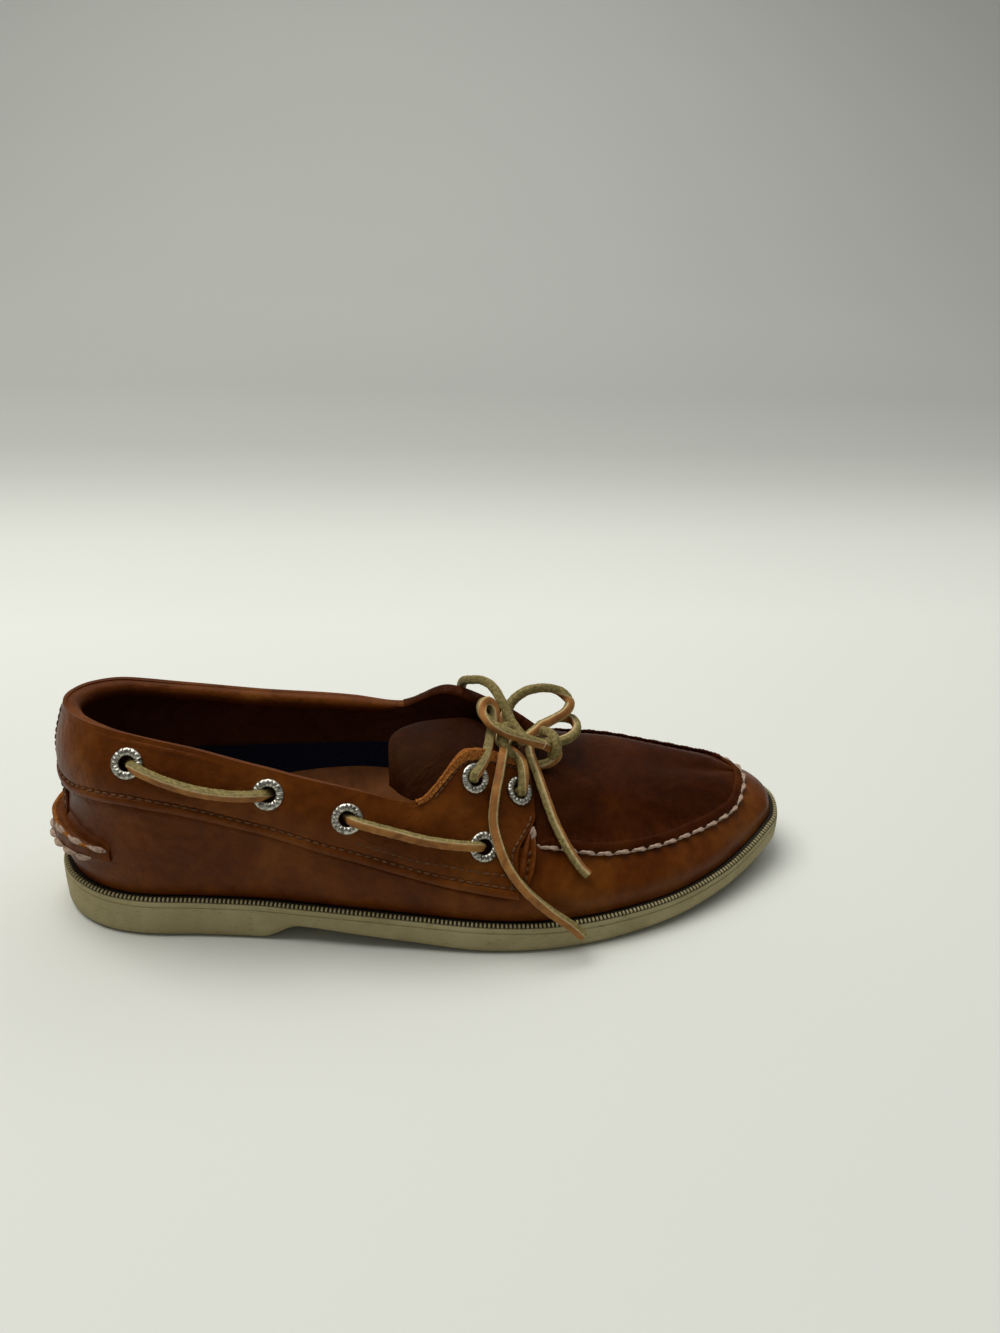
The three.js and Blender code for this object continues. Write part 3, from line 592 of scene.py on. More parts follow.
LINES_MEDIAL = [
    [0, 3.2, 30, 5.5, 47, 5, 66, 9.5, 82.6],
    [19, 2.6, 30.5, 3, 47, 4, 64.6, 10.8, 80],
    [34, 2.2, 31, 2, 46.5, 2.9, 63, 10.6, 76.9],
    [54, 1.8, 30, 1.4, 44.6, 2, 60, 8.6, 72.8],
    [76, 1.4, 28.5, 1, 42.5, 1.4, 57, 6, 68.6],
    [111, 1.2, 27.5, 0.5, 40.2, 0.8, 53, 2.8, 63.4],
    [131, 1.4, 27, 1.2, 40, 1.4, 51, 3.1, 60],
    [148, 2, 27, 3.2, 41, 6.5, 56.5, 12.9, 70],
    [163, 2.6, 26.8, 6, 42.6, 11.8, 55, 20.6, 65],
    [178, 3, 26.5, 9.6, 43.4, 19.6, 51.6, 30.8, 56],
    [210, 4, 25.5, 13, 41],
    [241, 5, 24, 14.5, 36.8],
    [269, 5.8, 24.5, 13, 33.4],
    [289.5, 6.5, 27, 17, 33.4],
]
RIDGE = [  # the plug's crest: x, y, height
    [178, -1, 57.5], [194, 0, 53.5], [210, 1.8, 49.8], [226, 4, 46], [241, 6.6, 42], [256, 10, 38],
    [271.6, 15, 33.4],
]
print("stations", len(LINES_LATERAL), len(LINES_MEDIAL), len(RIDGE))

# %% [markdown]
# The lines are read from the tables at places round the shoe. Round the toe the seam turns sharply, so each of its
# points there is the mean of several beside it. Over the toes the plug bulges a little between the seam and its
# crest.

# %% The five lines
TOE_TURN = (17.6, 19.4)  # the places between which the seam's turn round the toe is eased in
TOE_REACH = np.linspace(-1.5, 1.5, 7)  # how far beside a place the points are that make its mean


def smooth(value, start, end):
    t = np.clip((value - start) / (end - start), 0, 1)
    return t * t * (3 - 2 * t)


def lines(a):
    """The five lines' points at places a round the shoe: feather, belly, middle, crown, top."""
    x = outline(a)[:, 0]

    def line(column, a=a, x=x):
        inset, height = (np.where(a >= 0, along(LINES_LATERAL, k, x), along(LINES_MEDIAL, k, x))
                         for k in (column, column + 1))
        return np.c_[outline(a, inset), height]

    feather = np.c_[outline(a, SOLE_LEDGE), along(SOLE, 1, x) + FEATHER_GAP]
    middle, crown, top = line(3), line(5), line(7)
    toe = np.abs(a) > TOE_TURN[0]
    if toe.any():
        reach = smooth(np.abs(a[toe]), *TOE_TURN)
        beside = [(a[toe] + SPANS + shift * reach) % (2 * SPANS) - SPANS for shift in TOE_REACH]
        middle[toe] = np.mean([line(3, b, outline(b)[:, 0]) for b in beside], axis=0)
    share = (np.abs(a) - THROAT) / (SPANS - THROAT)
    crest_x = RIDGE[0][0] + share * (RIDGE[-1][0] - RIDGE[0][0])
    crest = np.c_[crest_x, along(RIDGE, 1, crest_x), along(RIDGE, 2, crest_x)]
    over = (middle + crest) / 2
    over[:, 2] += PLUG_CROWN * np.linalg.norm(crest - middle, axis=1)
    plug = (np.abs(a) > THROAT)[:, None]
    return np.array([feather, line(1), middle, np.where(plug, over, crown), np.where(plug, crest, top)])

print("lines", lines(np.array([6.0])).round(1).tolist())

# %% [markdown]
# The skin is a smooth curve across the five lines at each place. Its outward direction comes from two steps on the
# skin, one along the shoe and one up it.

# %% The skin


def skin(a, w):
    """Points of the skin: a stations round from the heel, and w from 0 at the feather to 4 at the top."""
    a, w = (v.ravel() for v in np.broadcast_arrays(np.asarray(a, float), np.asarray(w, float)))
    p, n = lines(a), np.arange(len(a))
    band = np.clip(np.floor(w).astype(int), 0, 3)
    start, end = p[band, n], p[band + 1, n]
    before = np.where((band == 0)[:, None], 2 * p[0] - p[1], p[np.maximum(band - 1, 0), n])
    after = np.where((band == 3)[:, None], 2 * p[4] - p[3], p[np.minimum(band + 2, 4), n])
    over_crest = ((band == 3) & (np.abs(a) > THROAT))[:, None]
    after = np.where(over_crest, lines(-a)[3], after)
    corner = np.clip((np.abs(a) - THROAT) / 2, 0, 1)[:, None]
    after = np.where((band == 1)[:, None], after + (2 * p[2] - p[1] - after) * corner, after)
    before = np.where((band == 2)[:, None], before + (2 * p[2] - p[3] - before) * corner, before)
    return spline(before, start, end, after, (w - band)[:, None])


def skin_out(a, w):
    """The skin's outward direction."""
    a, w = (v.ravel() for v in np.broadcast_arrays(np.asarray(a, float), np.asarray(w, float)))
    a = np.clip(a, 0.06 - SPANS, SPANS - 0.06)
    lengthwise = skin(a + 0.05, w) - skin(a - 0.05, w)
    upwards = skin(a, np.minimum(w + 0.05, 4)) - skin(a, np.maximum(w - 0.05, 0))
    return unit(np.cross(lengthwise, upwards))


print("skin", skin([0, 6, -6], [4, 4, 4]).round(1).tolist())

# %% [markdown]
# Patterns are marked by height and by length along the shoe. One helper halves the way up the skin until it meets
# a height, and another steps along the shoe until it meets a station too. Soft folds come from a sum of sines.

# %% Finding places on the skin
HALVINGS, STEPS = 18, 8


def level(a, z):
    """The w at which the skin reaches height z, at places a."""
    bottom, top = np.zeros(len(a)), np.full(len(a), 4.0)
    for _ in range(HALVINGS):
        middle = (bottom + top) / 2
        below = skin(a, middle)[:, 2] < z
        bottom, top = np.where(below, middle, bottom), np.where(below, top, middle)
    return bottom


def find(side, x, z):
    """The places a and w of the skin at station x and height z on one side."""
    x, z = np.atleast_1d(x).astype(float), np.atleast_1d(z).astype(float)
    a = np.interp(x, OUTLINE[:, 0], np.arange(SPANS + 1.0))
    for _ in range(STEPS):
        w = level(side * a, z)
        here, ahead = skin(side * a, w)[:, 0], skin(side * (a + 0.05), w)[:, 0]
        a = np.clip(a + np.clip((x - here) / np.maximum((ahead - here) / 0.05, 1), -1, 1), 0, SPANS)
    return side * a, level(side * a, z)


def hill(value, centre, spread):
    return np.exp(-((value - centre) / spread) ** 2)


RING = np.linspace(-SPANS, SPANS, 1681)
SEAM_LENGTH = run_length(skin(RING, 2.0))


def seam_place(a):
    """Millimetres along the middle line at place a."""
    return np.interp(a, RING, SEAM_LENGTH)


def creases(points, size):
    """A soft uneven height from 0 to 1 in folds of about that size, the same on every run."""
    x, y, z = (np.asarray(points) / size).T
    folds = (np.sin(1.9 * x + 1.3 * np.sin(1.1 * y + 0.7 * z)) + np.sin(1.4 * z + 1.7 * np.sin(0.9 * x - 0.8 * y))
             + np.sin(2.3 * y + 1.1 * np.sin(1.6 * z + 0.5 * x)))
    return 0.5 + folds / 6


print("seam", SEAM_LENGTH[-1].round(1), "mm round the shoe")

# %% [markdown]
# The leather is oiled pull-up hide. It is a deep brown with a waxy sheen, it pales where it is pulled or rubbed
# and stays dark in the folds. Three scales of noise give the clouds, the mottling and the fine pores.

# %% The leathers


def plain_finish(name, scale, detail, stops, roughness, gloss, *bumps):
    """One noise through a ramp, over bumps of (scale, detail, depth)."""
    material, shader = new_finish(name, Roughness=roughness, Specular_IOR_Level=gloss)
    link(material, ramp(material, noise(material, scale, detail=detail), stops), shader.inputs["Base Color"])
    if bumps:
        bump(material, shader, *((noise(material, size, detail=fine), depth) for size, fine, depth in bumps))
    return material


def leather(name, dark, middle, pale, roughness=(0.34, 0.5), coat=0.035, gloss=0.22):
    material, shader = new_finish(name, Specular_IOR_Level=gloss, Specular_Tint=(1, 0.5, 0.24, 1),
                                   Coat_Weight=coat, Coat_Roughness=0.28)
    clouds = ramp(material, noise(material, 26, detail=5, distortion=0.8), [(0.3, dark), (0.52, middle), (0.74, pale)])
    mottling = ramp(material, noise(material, 240, detail=6), [(0.3, (0.62, 0.58, 0.55)), (0.6, (1, 1, 1))])
    link(material, mix(material, 0.75, clouds, mottling, "MULTIPLY"), shader.inputs["Base Color"])
    link(material, grey(material, noise(material, 120, detail=3), *roughness), shader.inputs["Roughness"])
    pores = add_node(material, "ShaderNodeTexVoronoi", feature="DISTANCE_TO_EDGE")
    pores.inputs["Scale"].default_value = 1300
    link(material, add_node(material, "ShaderNodeTexCoord").outputs["Object"], pores.inputs["Vector"])
    grain = grey(material, pores.outputs["Distance"], 0, 1.6)
    bump(material, shader, (noise(material, 55, detail=4, distortion=1.2), 0.0011),
         (noise(material, 380, detail=5, distortion=0.5), 0.0002), (grain, 0.00006))
    return material


brown_leather = leather("pull_up_leather", (0.07, 0.0135, 0.0012), (0.128, 0.032, 0.0032), (0.195, 0.062, 0.009))
# The wall's leather is darker and redder than the band's: partly its own tone, partly painted shade over the vamp and
# the lower quarters.
quarter_leather_with_shade = leather("quarter_leather_with_shade", (0.055, 0.0098, 0.0008), (0.108, 0.024, 0.0018), (0.17, 0.05, 0.0055))
# The plug's leather is darker still: partly its own tone, partly painted shade over the forefoot. The seam's ridge and
# the inner wing's raw edge use it too.
dark_leather_with_shade = leather("plug_leather_with_shade", (0.024, 0.0036, 0.0005), (0.043, 0.0082, 0.0009), (0.07, 0.0165, 0.002),
                       (0.46, 0.62), 0.0, 0.1)
tongue_hide = leather("tongue_hide", (0.013, 0.0022, 0.0004), (0.024, 0.0048, 0.0007), (0.04, 0.0098, 0.0014),
                      (0.5, 0.65), 0.0, 0.1)
lining_leather = leather("lining_leather", (0.05, 0.014, 0.005), (0.085, 0.027, 0.01), (0.12, 0.042, 0.017),
                         (0.55, 0.7), 0.0)
footbed_leather = leather("footbed_leather", (0.09, 0.028, 0.008), (0.15, 0.05, 0.015), (0.19, 0.07, 0.023),
                          (0.5, 0.65), 0.0)

suede = plain_finish("raw_edge_suede", 1300, 6, [
    (0.3, (0.14, 0.038, 0.007)), (0.55, (0.31, 0.105, 0.02)), (0.75, (0.46, 0.2, 0.045))], 0.95, 0.1,
    (900, 6, 0.0008), (2600, 3, 0.0003))
print("finishes", [material.name for material in bpy.data.materials])

# %% [markdown]
# The quarters and the vamp form the wall round the foot. It is one long grid, from the toe round the inner side
# and the heel to the toe again. In the forepart it rises to the moccasin seam, where the hand stitches pull it
# into pleats, and along the heel it stops under the collar band.

# %% The wall: quarters and vamp
BAND_EDGE = [  # x, height of the collar band's lower edge on the lateral and medial sides
    [0, 56, 56], [10, 55.2, 55.2], [19, 56.2, 56], [30, 56.2, 55.6], [44, 54.4, 54], [58, 51.5, 51.8],
    [71.5, 48.1, 49], [85, 44.9, 46], [99, 40.5, 42.4], [113, 36.8, 39], [127, 32.7, 35.6], [141, 28.7, 32],
    [156, 25.3, 28.6], [169, 22.8, 26],
]
STITCH = 7.2  # the length of a moccasin stitch


def band_level(a):
    x = outline(a)[:, 0]
    return level(a, np.where(a >= 0, along(BAND_EDGE, 1, x), along(BAND_EDGE, 2, x)))


def wall_top(a):
    """How far up the skin the wall goes."""
    under_band = band_level(a) + 0.35
    share = smooth(np.abs(a), 10.6, 11.3)
    return under_band * (1 - share) + 2.0 * share


def wall_spot(s, t):
    a = (2 * s - 1) * SPANS
    w = t * wall_top(a)
    place, out = skin(a, w), skin_out(a, w)
    front = smooth(np.abs(a), 11.8, 12.6)
    pleat = 0.5 + 0.5 * np.cos(2 * pi * seam_place(a) / STITCH)
    tight = hill(np.abs(a), 12.7, 1.1)
    reach = np.clip((w - 1.45 + 0.5 * tight) / (0.55 + 0.5 * tight), 0, 1)
    lift = -front * reach ** 1.6 * (0.5 + 0.5 * tight) * pleat
    lift += 0.5 * hill(w, 0.75, 0.5) * (creases(place, 14) - 0.5)
    heel_folds = hill(np.abs(a), 0, 2.4) * hill(w, 2.3, 0.7)
    lift += heel_folds * 1.0 * (creases(place * [1, 1, 2.2], 5) - 0.5)
    lift += 1.2 * hill(np.abs(a), 0, 3.0) * hill(place[:, 2], 24, 4)
    below_band = (band_level(a) - w) * 12
    lift -= 0.8 * (1 - smooth(below_band, 0, 1.6)) * (1 - smooth(np.abs(a), 11, 11.6))
    lift += 0.35 * (creases(place, 30) - 0.5)
    return place + out * lift[:, None]


wall = lay("quarters_and_vamp", 560, 36, wall_spot)
thicken(wall, 2.0)
done(wall, quarter_leather_with_shade, "leather", "upper")

# %% [markdown]
# The plug is the oval of leather over the toes. Its grid runs from seam to seam across the crest, and its
# edge is gathered: small folds run in from the seam, one to each stitch.

# %% The plug


def plug_spot(s, t):
    across = 2 * t - 1
    a = (THROAT + 0.05 + (SPANS - THROAT - 0.3) * s) * np.where(across < 0, 1, -1)
    w = 4 - 2 * np.abs(across)
    place, out = skin(a, w), skin_out(a, np.minimum(w, 3.97))
    tip = smooth(np.abs(a), 18.8, 20.2)[:, None]
    out = out * (1 - tip) + np.array([0.5, 0.05, 0.86]) * tip
    inward = (w - 2) / 2
    run = seam_place(a)
    fold = 0.5 + 0.5 * np.cos(2 * pi * run / (STITCH * 0.5) + 1.2 * np.sin(run * 0.23))
    gather = (1 - smooth(inward, 0.0, 0.2)) * fold * 0.45
    long_folds = 1.1 * hill(inward, 0.3, 0.35) * (creases(place * [0.55, 1.5, 1], 9) - 0.5)
    ends = smooth(s, 0, 0.06) * (1 - smooth(s, 0.8, 0.94))
    tuck = 1 - smooth(s, 0, 0.03)
    place = place - np.array([3.6, 0, 0.5]) * tuck[:, None]
    return place + out * ((gather + long_folds) * ends + 0.4 * (1 - smooth(inward, 0, 0.12)))[:, None]


plug = lay("plug", 200, 110, plug_spot)
thicken(plug, 1.8, offset=-1)
done(plug, dark_leather_with_shade, "leather")

# %% [markdown]
# The collar band runs round the heel from one wing to the other. It is one strip of leather over the wall, with
# its lower edge folded under and stitched. The wings rise from it beside the throat.

# %% The collar band and wings
BAND_WALL = 1.25


def band_front(t):
    """How far round the band reaches at share t of its height: its front edge."""
    return 11.4 + 0.58 * smooth(t, 0.3, 0.55)


def band_spot(s, t):
    a = (2 * s - 1) * band_front(t)
    low_edge = band_level(a)
    w = low_edge + (4 - low_edge) * t
    place, out = skin(a, w), skin_out(a, w)
    width = np.linalg.norm(place - skin(a, low_edge), axis=1)
    lift = 0.1 + 0.15 * (1 - smooth(width, 2.6, 3.6)) - 0.35 * hill(width, 3.6, 0.7)
    lift += 0.7 * (creases(place, 24) - 0.5) * smooth(width, 3, 12)
    lift += 0.35 * hill(np.abs(a), 10.9, 0.8) * (creases(place * [1, 1, 0.6], 6) - 0.5)
    return place + out * lift[:, None]


band = lay("collar_band", 460, 44, band_spot)
thicken(band, BAND_WALL, offset=1)
done(band, brown_leather, "leather")

# %% [markdown]
# The band's lower edge is turned under before it is sewn, so it stands out as a soft bead. The bead is a tube of
# oval section, laid along the band's lower line.

# %% The band's folded edge
BAND_FOLD = 1.55  # half the height of the folded edge


def fold_spot(s, t):
    a = (2 * s - 1) * 11.42
    low_edge = band_level(a)
    place = skin(a, low_edge)
    up = unit(skin(a, low_edge + 0.15) - place)
    out = skin_out(a, low_edge)
    turn = 2 * pi * t
    uneven = 0.16 * (creases(place, 9) - 0.5)
    high = BAND_FOLD * (1 + np.sin(turn)) + uneven
    return place + up * (high + 0.05)[:, None] + out * (BAND_WALL + 0.1 + 0.75 * np.cos(turn) + uneven)[:, None]


fold = lay("band_fold", 460, 14, fold_spot)
edit(fold, bpy.ops.mesh.normals_make_consistent)
done(fold, brown_leather, "leather", angle=80)

# %% [markdown]
# Round the foot opening the band is turned over a thin pad and folded inwards. That roll is swept as a soft
# tube along the top line, and it thins out where the wings begin.

# %% The collar roll
ROLL = 3.1


def top_up(a):
    """The upward direction at the top line."""
    return unit(skin(a, 4.0) - skin(a, 3.9))


def roll_spot(s, t):
    a = (2 * s - 1) * 9.35
    place, out = skin(a, 3.97), skin_out(a, 3.9)
    up = top_up(a)
    radius = ROLL * (1 - 0.45 * smooth(np.abs(a), 7.8, 9.3)) * (1 + 0.05 * (creases(place, 12) - 0.5))
    radius *= 1 + 0.14 * hill(np.abs(a), 0, 2.2)
    centre = place - up * (radius * 0.75)[:, None] + out * (BAND_WALL + 0.15 - radius)[:, None]
    turn = radians(-75) + t * radians(330)
    return centre + (out * np.cos(turn)[:, None] + up * np.sin(turn)[:, None]) * radius[:, None]


roll = lay("collar_roll", 300, 22, roll_spot)
thicken(roll, 0.8)
done(roll, brown_leather, "leather", angle=70)

# %% [markdown]
# The wings are cut raw: their edge shows the fibres of the hide and of the lining behind it. A ribbon with a
# low rounded top lies along that edge, in suede on the outer wing and in the plug's dark leather on the inner one.

# %% The raw edges of the wings
for side_name, side in SIDES:
    def raw_edge_spot(s, t, side=side):
        a = side * (9.0 + 3.0 * s)
        place, out = skin(a, 3.99), skin_out(a, 3.9)
        up = top_up(a)
        reach = -2.9 + (BAND_WALL + 3.1) * t
        rough = 0.5 * (creases(place * 3, 4) - 0.5) + 0.35 * (creases(place * 7 + t[:, None] * 3, 4) - 0.5)
        crown = 0.75 * np.sqrt(np.clip(1 - (2 * t - 1) ** 2, 0, 1)) + rough * np.sin(pi * t)
        return place + out * reach[:, None] + up * (crown - 0.1)[:, None]

    raw_edge = lay("wing_raw_edge_" + side_name, 150, 8, raw_edge_spot)
    if side < 0:
        edit(raw_edge, bpy.ops.mesh.flip_normals)
    thicken(raw_edge, 0.5)
    done(raw_edge, suede if side > 0 else dark_leather_with_shade, "leather")

# %% [markdown]
# On the outer wing the suede comes over the edge as a sewn strip, broad in the middle and narrow at its ends.

# %% The suede strip


def suede_strip_spot(s, t):
    a = 9.05 + 2.9 * s
    span = np.linalg.norm(skin(a, 4.0) - skin(a, 3.9), axis=1) / 0.1
    wide = 3.6 * np.sin(pi * np.clip(s, 0.03, 0.97)) ** 0.45
    w = 4 - wide * (1 - t) / span
    place, out = skin(a, w), skin_out(a, np.minimum(w, 3.93))
    rough = 0.45 * (creases(place * 3, 4) - 0.5)
    return place + out * (BAND_WALL + 0.15 + rough)[:, None]


suede_strip = lay("wing_suede_strip", 150, 10, suede_strip_spot)
thicken(suede_strip, 0.55, offset=1)
done(suede_strip, suede, "leather")

# %% [markdown]
# Inside, a soft lining covers the wall from the roll to the footbed, and a strip of navy cloth is sewn in low
# along both sides.

# %% The lining


def lining_spot(s, t):
    a = (2 * s - 1) * 12.4
    w = 0.1 + 3.86 * t
    place, out = skin(a, w), skin_out(a, w)
    depth = 2.5 + 0.5 * (creases(place, 16) - 0.5) - 0.5 * smooth(t, 0.9, 1)
    return place - out * depth[:, None]


lining = lay("lining", 260, 30, lining_spot)
thicken(lining, 0.5)
done(lining, lining_leather, "footbed")

navy = plain_finish("navy_cloth", 1500, 2, [(0.3, (0.004, 0.006, 0.016)), (0.7, (0.012, 0.018, 0.05))], 0.9, 0.2,
                    (2200, 2, 0.0003))
for side_name, side in SIDES:
    def navy_spot(s, t, side=side):
        a = side * (4.6 + 7.2 * s)
        base = level(a, np.full(len(a), 24.0))
        top = level(a, 44.0 - 3 * s)
        w = base + (top - base) * t
        return skin(a, w) - skin_out(a, w) * (3.35 + 0.2 * np.sin(9 * s))[:, None]

    strip = lay("navy_lining_" + side_name, 90, 12, navy_spot)
    if side < 0:
        edit(strip, bpy.ops.mesh.flip_normals)
    thicken(strip, 0.35)
    done(strip, navy, "footbed")

# %% [markdown]
# The footbed fills the sole's outline inside the lining. It rises a little under the arch, and it is worn down
# where the heel stands.

# %% The footbed
FOOTBED_INSET = 6.0


def footbed_spot(s, t):
    u, across = s * SPANS, 2 * t - 1
    near, far = outline(u, FOOTBED_INSET), outline(-u, FOOTBED_INSET)
    place = near + (far - near) * t[:, None]
    arch = np.maximum(0, hill(place[:, 0], 112, 48) - 0.01)
    rise = np.where(across < 0, 1.5, 7.5) * arch * np.abs(across) ** 3
    height = along(SOLE, 1, place[:, 0]) + along(SOLE, 3, place[:, 0]) + rise
    worn = -0.8 * hill(place[:, 0], 45, 26) * (1 - across ** 2)
    return np.c_[place, height + worn + 0.25 * (creases(np.c_[place * [0.3, 1.4], height], 5) - 0.5)]


footbed = lay("footbed", 168, 48, footbed_spot)
thicken(footbed, 3.0, offset=-1)
done(footbed, footbed_leather, "footbed", "insole")

# %% [markdown]
# The tongue is a thick piece of leather under the lace. It is square behind and bows over the instep, and it
# droops more at its edges than in the middle. A Bevel rounds its cut edge.

# %% The tongue
TONGUE = np.array([  # x, half width, height on the centre line, fall at the edges
    [124, 24, 64.4, 11], [128, 27, 65.4, 13], [140, 28, 65.6, 14], [152, 27, 63, 13.5], [164, 24, 58.8, 12],
    [176, 21, 54, 9], [188, 19, 50.6, 7.5],
])


def tongue_spot(s, t):
    across = 2 * t - 1
    x = TONGUE[0, 0] + s * (TONGUE[-1, 0] - TONGUE[0, 0])
    round_corner = 1 - 0.16 * (1 - smooth(s, 0, 0.12))
    y = across * along(TONGUE, 1, x) * round_corner
    moved = x + np.minimum(0.035 * np.maximum(y + 8, 0) ** 2, 24) * (1 - s) ** 1.5
    height = along(TONGUE, 2, x) - along(TONGUE, 3, x) * np.abs(across) ** 2.4
    place = np.c_[moved, y, height]
    place[:, 2] += 0.8 * (creases(place * [1, 0.5, 1], 9) - 0.5)
    return place


tongue = lay("tongue_leather", 84, 84, tongue_spot)
thicken(tongue, 2.2)
shape_with(tongue, "BEVEL", width=0.0005, segments=2, limit_method="ANGLE", angle_limit=radians(50))
done(tongue, tongue_hide, "leather", "tongue")

# %% [markdown]
# The moccasin seam is where the plug's edge and the vamp's edge are drawn together by hand. They stand up as one
# ridge, finely puckered, and heavy two-ply stitches lie along its foot.

# %% The seam's ridge
SEAM_HALF = SPANS - 12.08


def seam_station(share):
    """Places along the seam from the lateral end round the toe to the medial end, share from -1 to 1."""
    reach = SPANS - np.abs(share) * SEAM_HALF
    return np.where(share <= 0, reach, -reach)


def seam_frame(a):
    """The seam's points with the wall's outward and upward directions there."""
    place, out = skin(a, 2.0), skin_out(a, 1.85)
    return place, out, unit(place - skin(a, 1.9))


RAIL, BESIDE = np.linspace(-1, 1, 1201), 60  # the seam's shares, and how many on each side are averaged
rail = np.hstack(seam_frame(seam_station(RAIL)))
padded = np.vstack([rail[:1]] * BESIDE + [rail] + [rail[-1:]] * BESIDE)
softened = np.array([padded[i:i + 2 * BESIDE + 1].mean(axis=0) for i in range(len(rail))])
rail += (softened - rail) * hill(RAIL, 0, 0.1)[:, None]


def seam_rail(share):
    """The seam's points, outs and ups at shares from -1 to 1, with the turn at the toe softened."""
    return np.hsplit(read(rail, RAIL, share), 3)


def ridge_spot(s, t):
    share = 2 * s - 1
    a = seam_station(share)
    place, out, up = seam_rail(share)
    run = seam_place(a)
    pucker = np.cos(2 * pi * run / 1.9 + 1.5 * np.sin(run * 0.31)) * 0.13
    pinch = 0.16 * np.cos(2 * pi * run / STITCH)
    size = 1 - smooth(np.abs(share), 0.955, 1.0) * 0.6
    turn = 2 * pi * t
    thick = (0.95 + pucker + pinch) * size
    tall = (2.3 + 0.6 * pinch) * size
    centre = place + out * 0.25 + up * (0.9 * size)[:, None]
    return centre + out * (thick * np.cos(turn))[:, None] + up * (tall * np.sin(turn))[:, None]


ridge = lay("moccasin_ridge", 620, 14, ridge_spot)
edit(ridge, bpy.ops.mesh.normals_make_consistent)
done(ridge, dark_leather_with_shade, "leather", angle=80)

# %% [markdown]
# A heavy stitch is two plies of waxed thread twisted round each other. Each ply is a short tube on a helix that is
# fat in the middle, and its ends dive into the leather.

# %% The threads and the heavy stitch
thread = plain_finish("waxed_thread", 900, 4, [(0.3, (0.3, 0.2, 0.14)), (0.7, (0.5, 0.37, 0.28))], 0.7, 0.3,
                      (2500, 3, 0.0002))
brown_thread = plain_finish("brown_thread", 900, 4, [(0.3, (0.065, 0.022, 0.006)), (0.7, (0.17, 0.07, 0.022))],
                            0.75, 0.3)
PLY_STEPS, PLY_CORNERS = 12, 7


def twisted_stitch(length, radius):
    """Corners and faces of one two-ply stitch along x, in millimetres."""
    points, faces = [], []
    for ply in (0, pi):
        base = len(points)
        for i in range(PLY_STEPS + 1):
            share = i / PLY_STEPS
            swell = (sin(pi * min(max(share, 0.05), 0.95))) ** 0.6
            turn = ply + 0.5 + share * 0.95 * pi
            centre = np.array([(share - 0.5) * length, radius * 0.62 * swell * cos(turn),
                               radius * 0.5 * swell * sin(turn) - radius * 1.3 * (1 - swell)])
            for k in range(PLY_CORNERS):
                angle = 2 * pi * k / PLY_CORNERS
                points.append(centre + np.array([0, cos(angle), sin(angle)]) * radius * 0.72 * swell)
        for row in range(base, base + PLY_STEPS * PLY_CORNERS, PLY_CORNERS):
            beyond = row + PLY_CORNERS
            faces += [(row + k, beyond + k, beyond + (k + 1) % PLY_CORNERS, row + (k + 1) % PLY_CORNERS)
                      for k in range(PLY_CORNERS)]
        faces += [tuple(base + k for k in range(PLY_CORNERS)), tuple(beyond + k for k in reversed(range(PLY_CORNERS)))]
    return np.array(points), faces


print("heavy stitch", len(twisted_stitch(STITCH, 1)[0]), "corners")

# %% [markdown]
# A fine stitch is a small bead, and other things that repeat are primitives too. The primitive gives a pattern of
# corners and faces, and a copy of the pattern is put at each place of a line and joined into one piece.

# %% Sewing a pattern along a line


def pattern_of(piece, shape, turned=False):
    """The corners of a primitive after shape, and its faces. The primitive itself goes."""
    points = shape(corners(piece))
    faces = [tuple(face.vertices)[::-1 if turned else 1] for face in piece.data.polygons]
    bpy.data.objects.remove(piece)
    return points, faces


def sew(name, pattern, centres, ahead, out, material, slot="leather"):
    """A copy of the pattern at each centre, along ahead and standing on out, as one piece."""
    shape, pattern_faces = pattern
    ahead = unit(ahead)
    out = unit(out - ahead * (out * ahead).sum(1, keepdims=True))
    beside = np.cross(out, ahead)
    points = (centres[:, None] + ahead[:, None] * shape[:, :1] + beside[:, None] * shape[:, 1:2]
              + out[:, None] * shape[:, 2:3]).reshape(-1, 3)
    count = len(shape)
    faces = [tuple(k + i * count for k in face) for i in range(len(centres)) for face in pattern_faces]
    return done(new_mesh(name, to_row(points), faces), material, slot, angle=80)


def evenly(points, outs, pitch):
    """Centres, directions and outs at an even pitch along a line."""
    length = run_length(points)
    count = max(int(length[-1] / pitch), 1)
    middle = (np.arange(count) + 0.5) * length[-1] / count
    ahead = read(points, length, middle + 0.4) - read(points, length, middle - 0.4)
    return read(points, length, middle), ahead, read(outs, length, middle)


bpy.ops.object.select_all(action="DESELECT")
bpy.ops.mesh.primitive_uv_sphere_add(segments=8, ring_count=6, radius=1)
fine = pattern_of(bpy.context.object, lambda points: (points * [0.5, 0.5, 1.25])[:, [2, 1, 0]] * [1, 1, -0.8], True)
print("fine stitch", len(fine[0]), "corners")

# %% [markdown]
# The heavy stitches run along the foot of the moccasin seam. The fine brown ones follow the band's lower edge in
# one row, in two rows towards the front, and the edges of the wings.

# %% The stitches on the upper
place, out, up = seam_rail(np.linspace(-1, 1, 900))
foot = place + out * 1.05 - up * 1.15
sew("moccasin_stitches", twisted_stitch(STITCH * 1.08, 0.85), *evenly(foot, out * 1.0 + up * 0.1, STITCH), thread)


def stitch_row(name, a, w, lift, pitch=2.8):
    """Fine stitches along the skin's places a, w, that far off it."""
    out = skin_out(a, w)
    sew(name, fine, *evenly(skin(a, w) + out * lift, out, pitch), brown_thread)


def band_row(name, a, width):
    """A row of fine stitches on the band, that far above its lower edge."""
    low_edge = band_level(a)
    per_w = np.linalg.norm(skin(a, low_edge + 0.2) - skin(a, low_edge), axis=1) / 0.2
    stitch_row(name, a, low_edge + width / per_w, BAND_WALL + 0.1, 3.1)


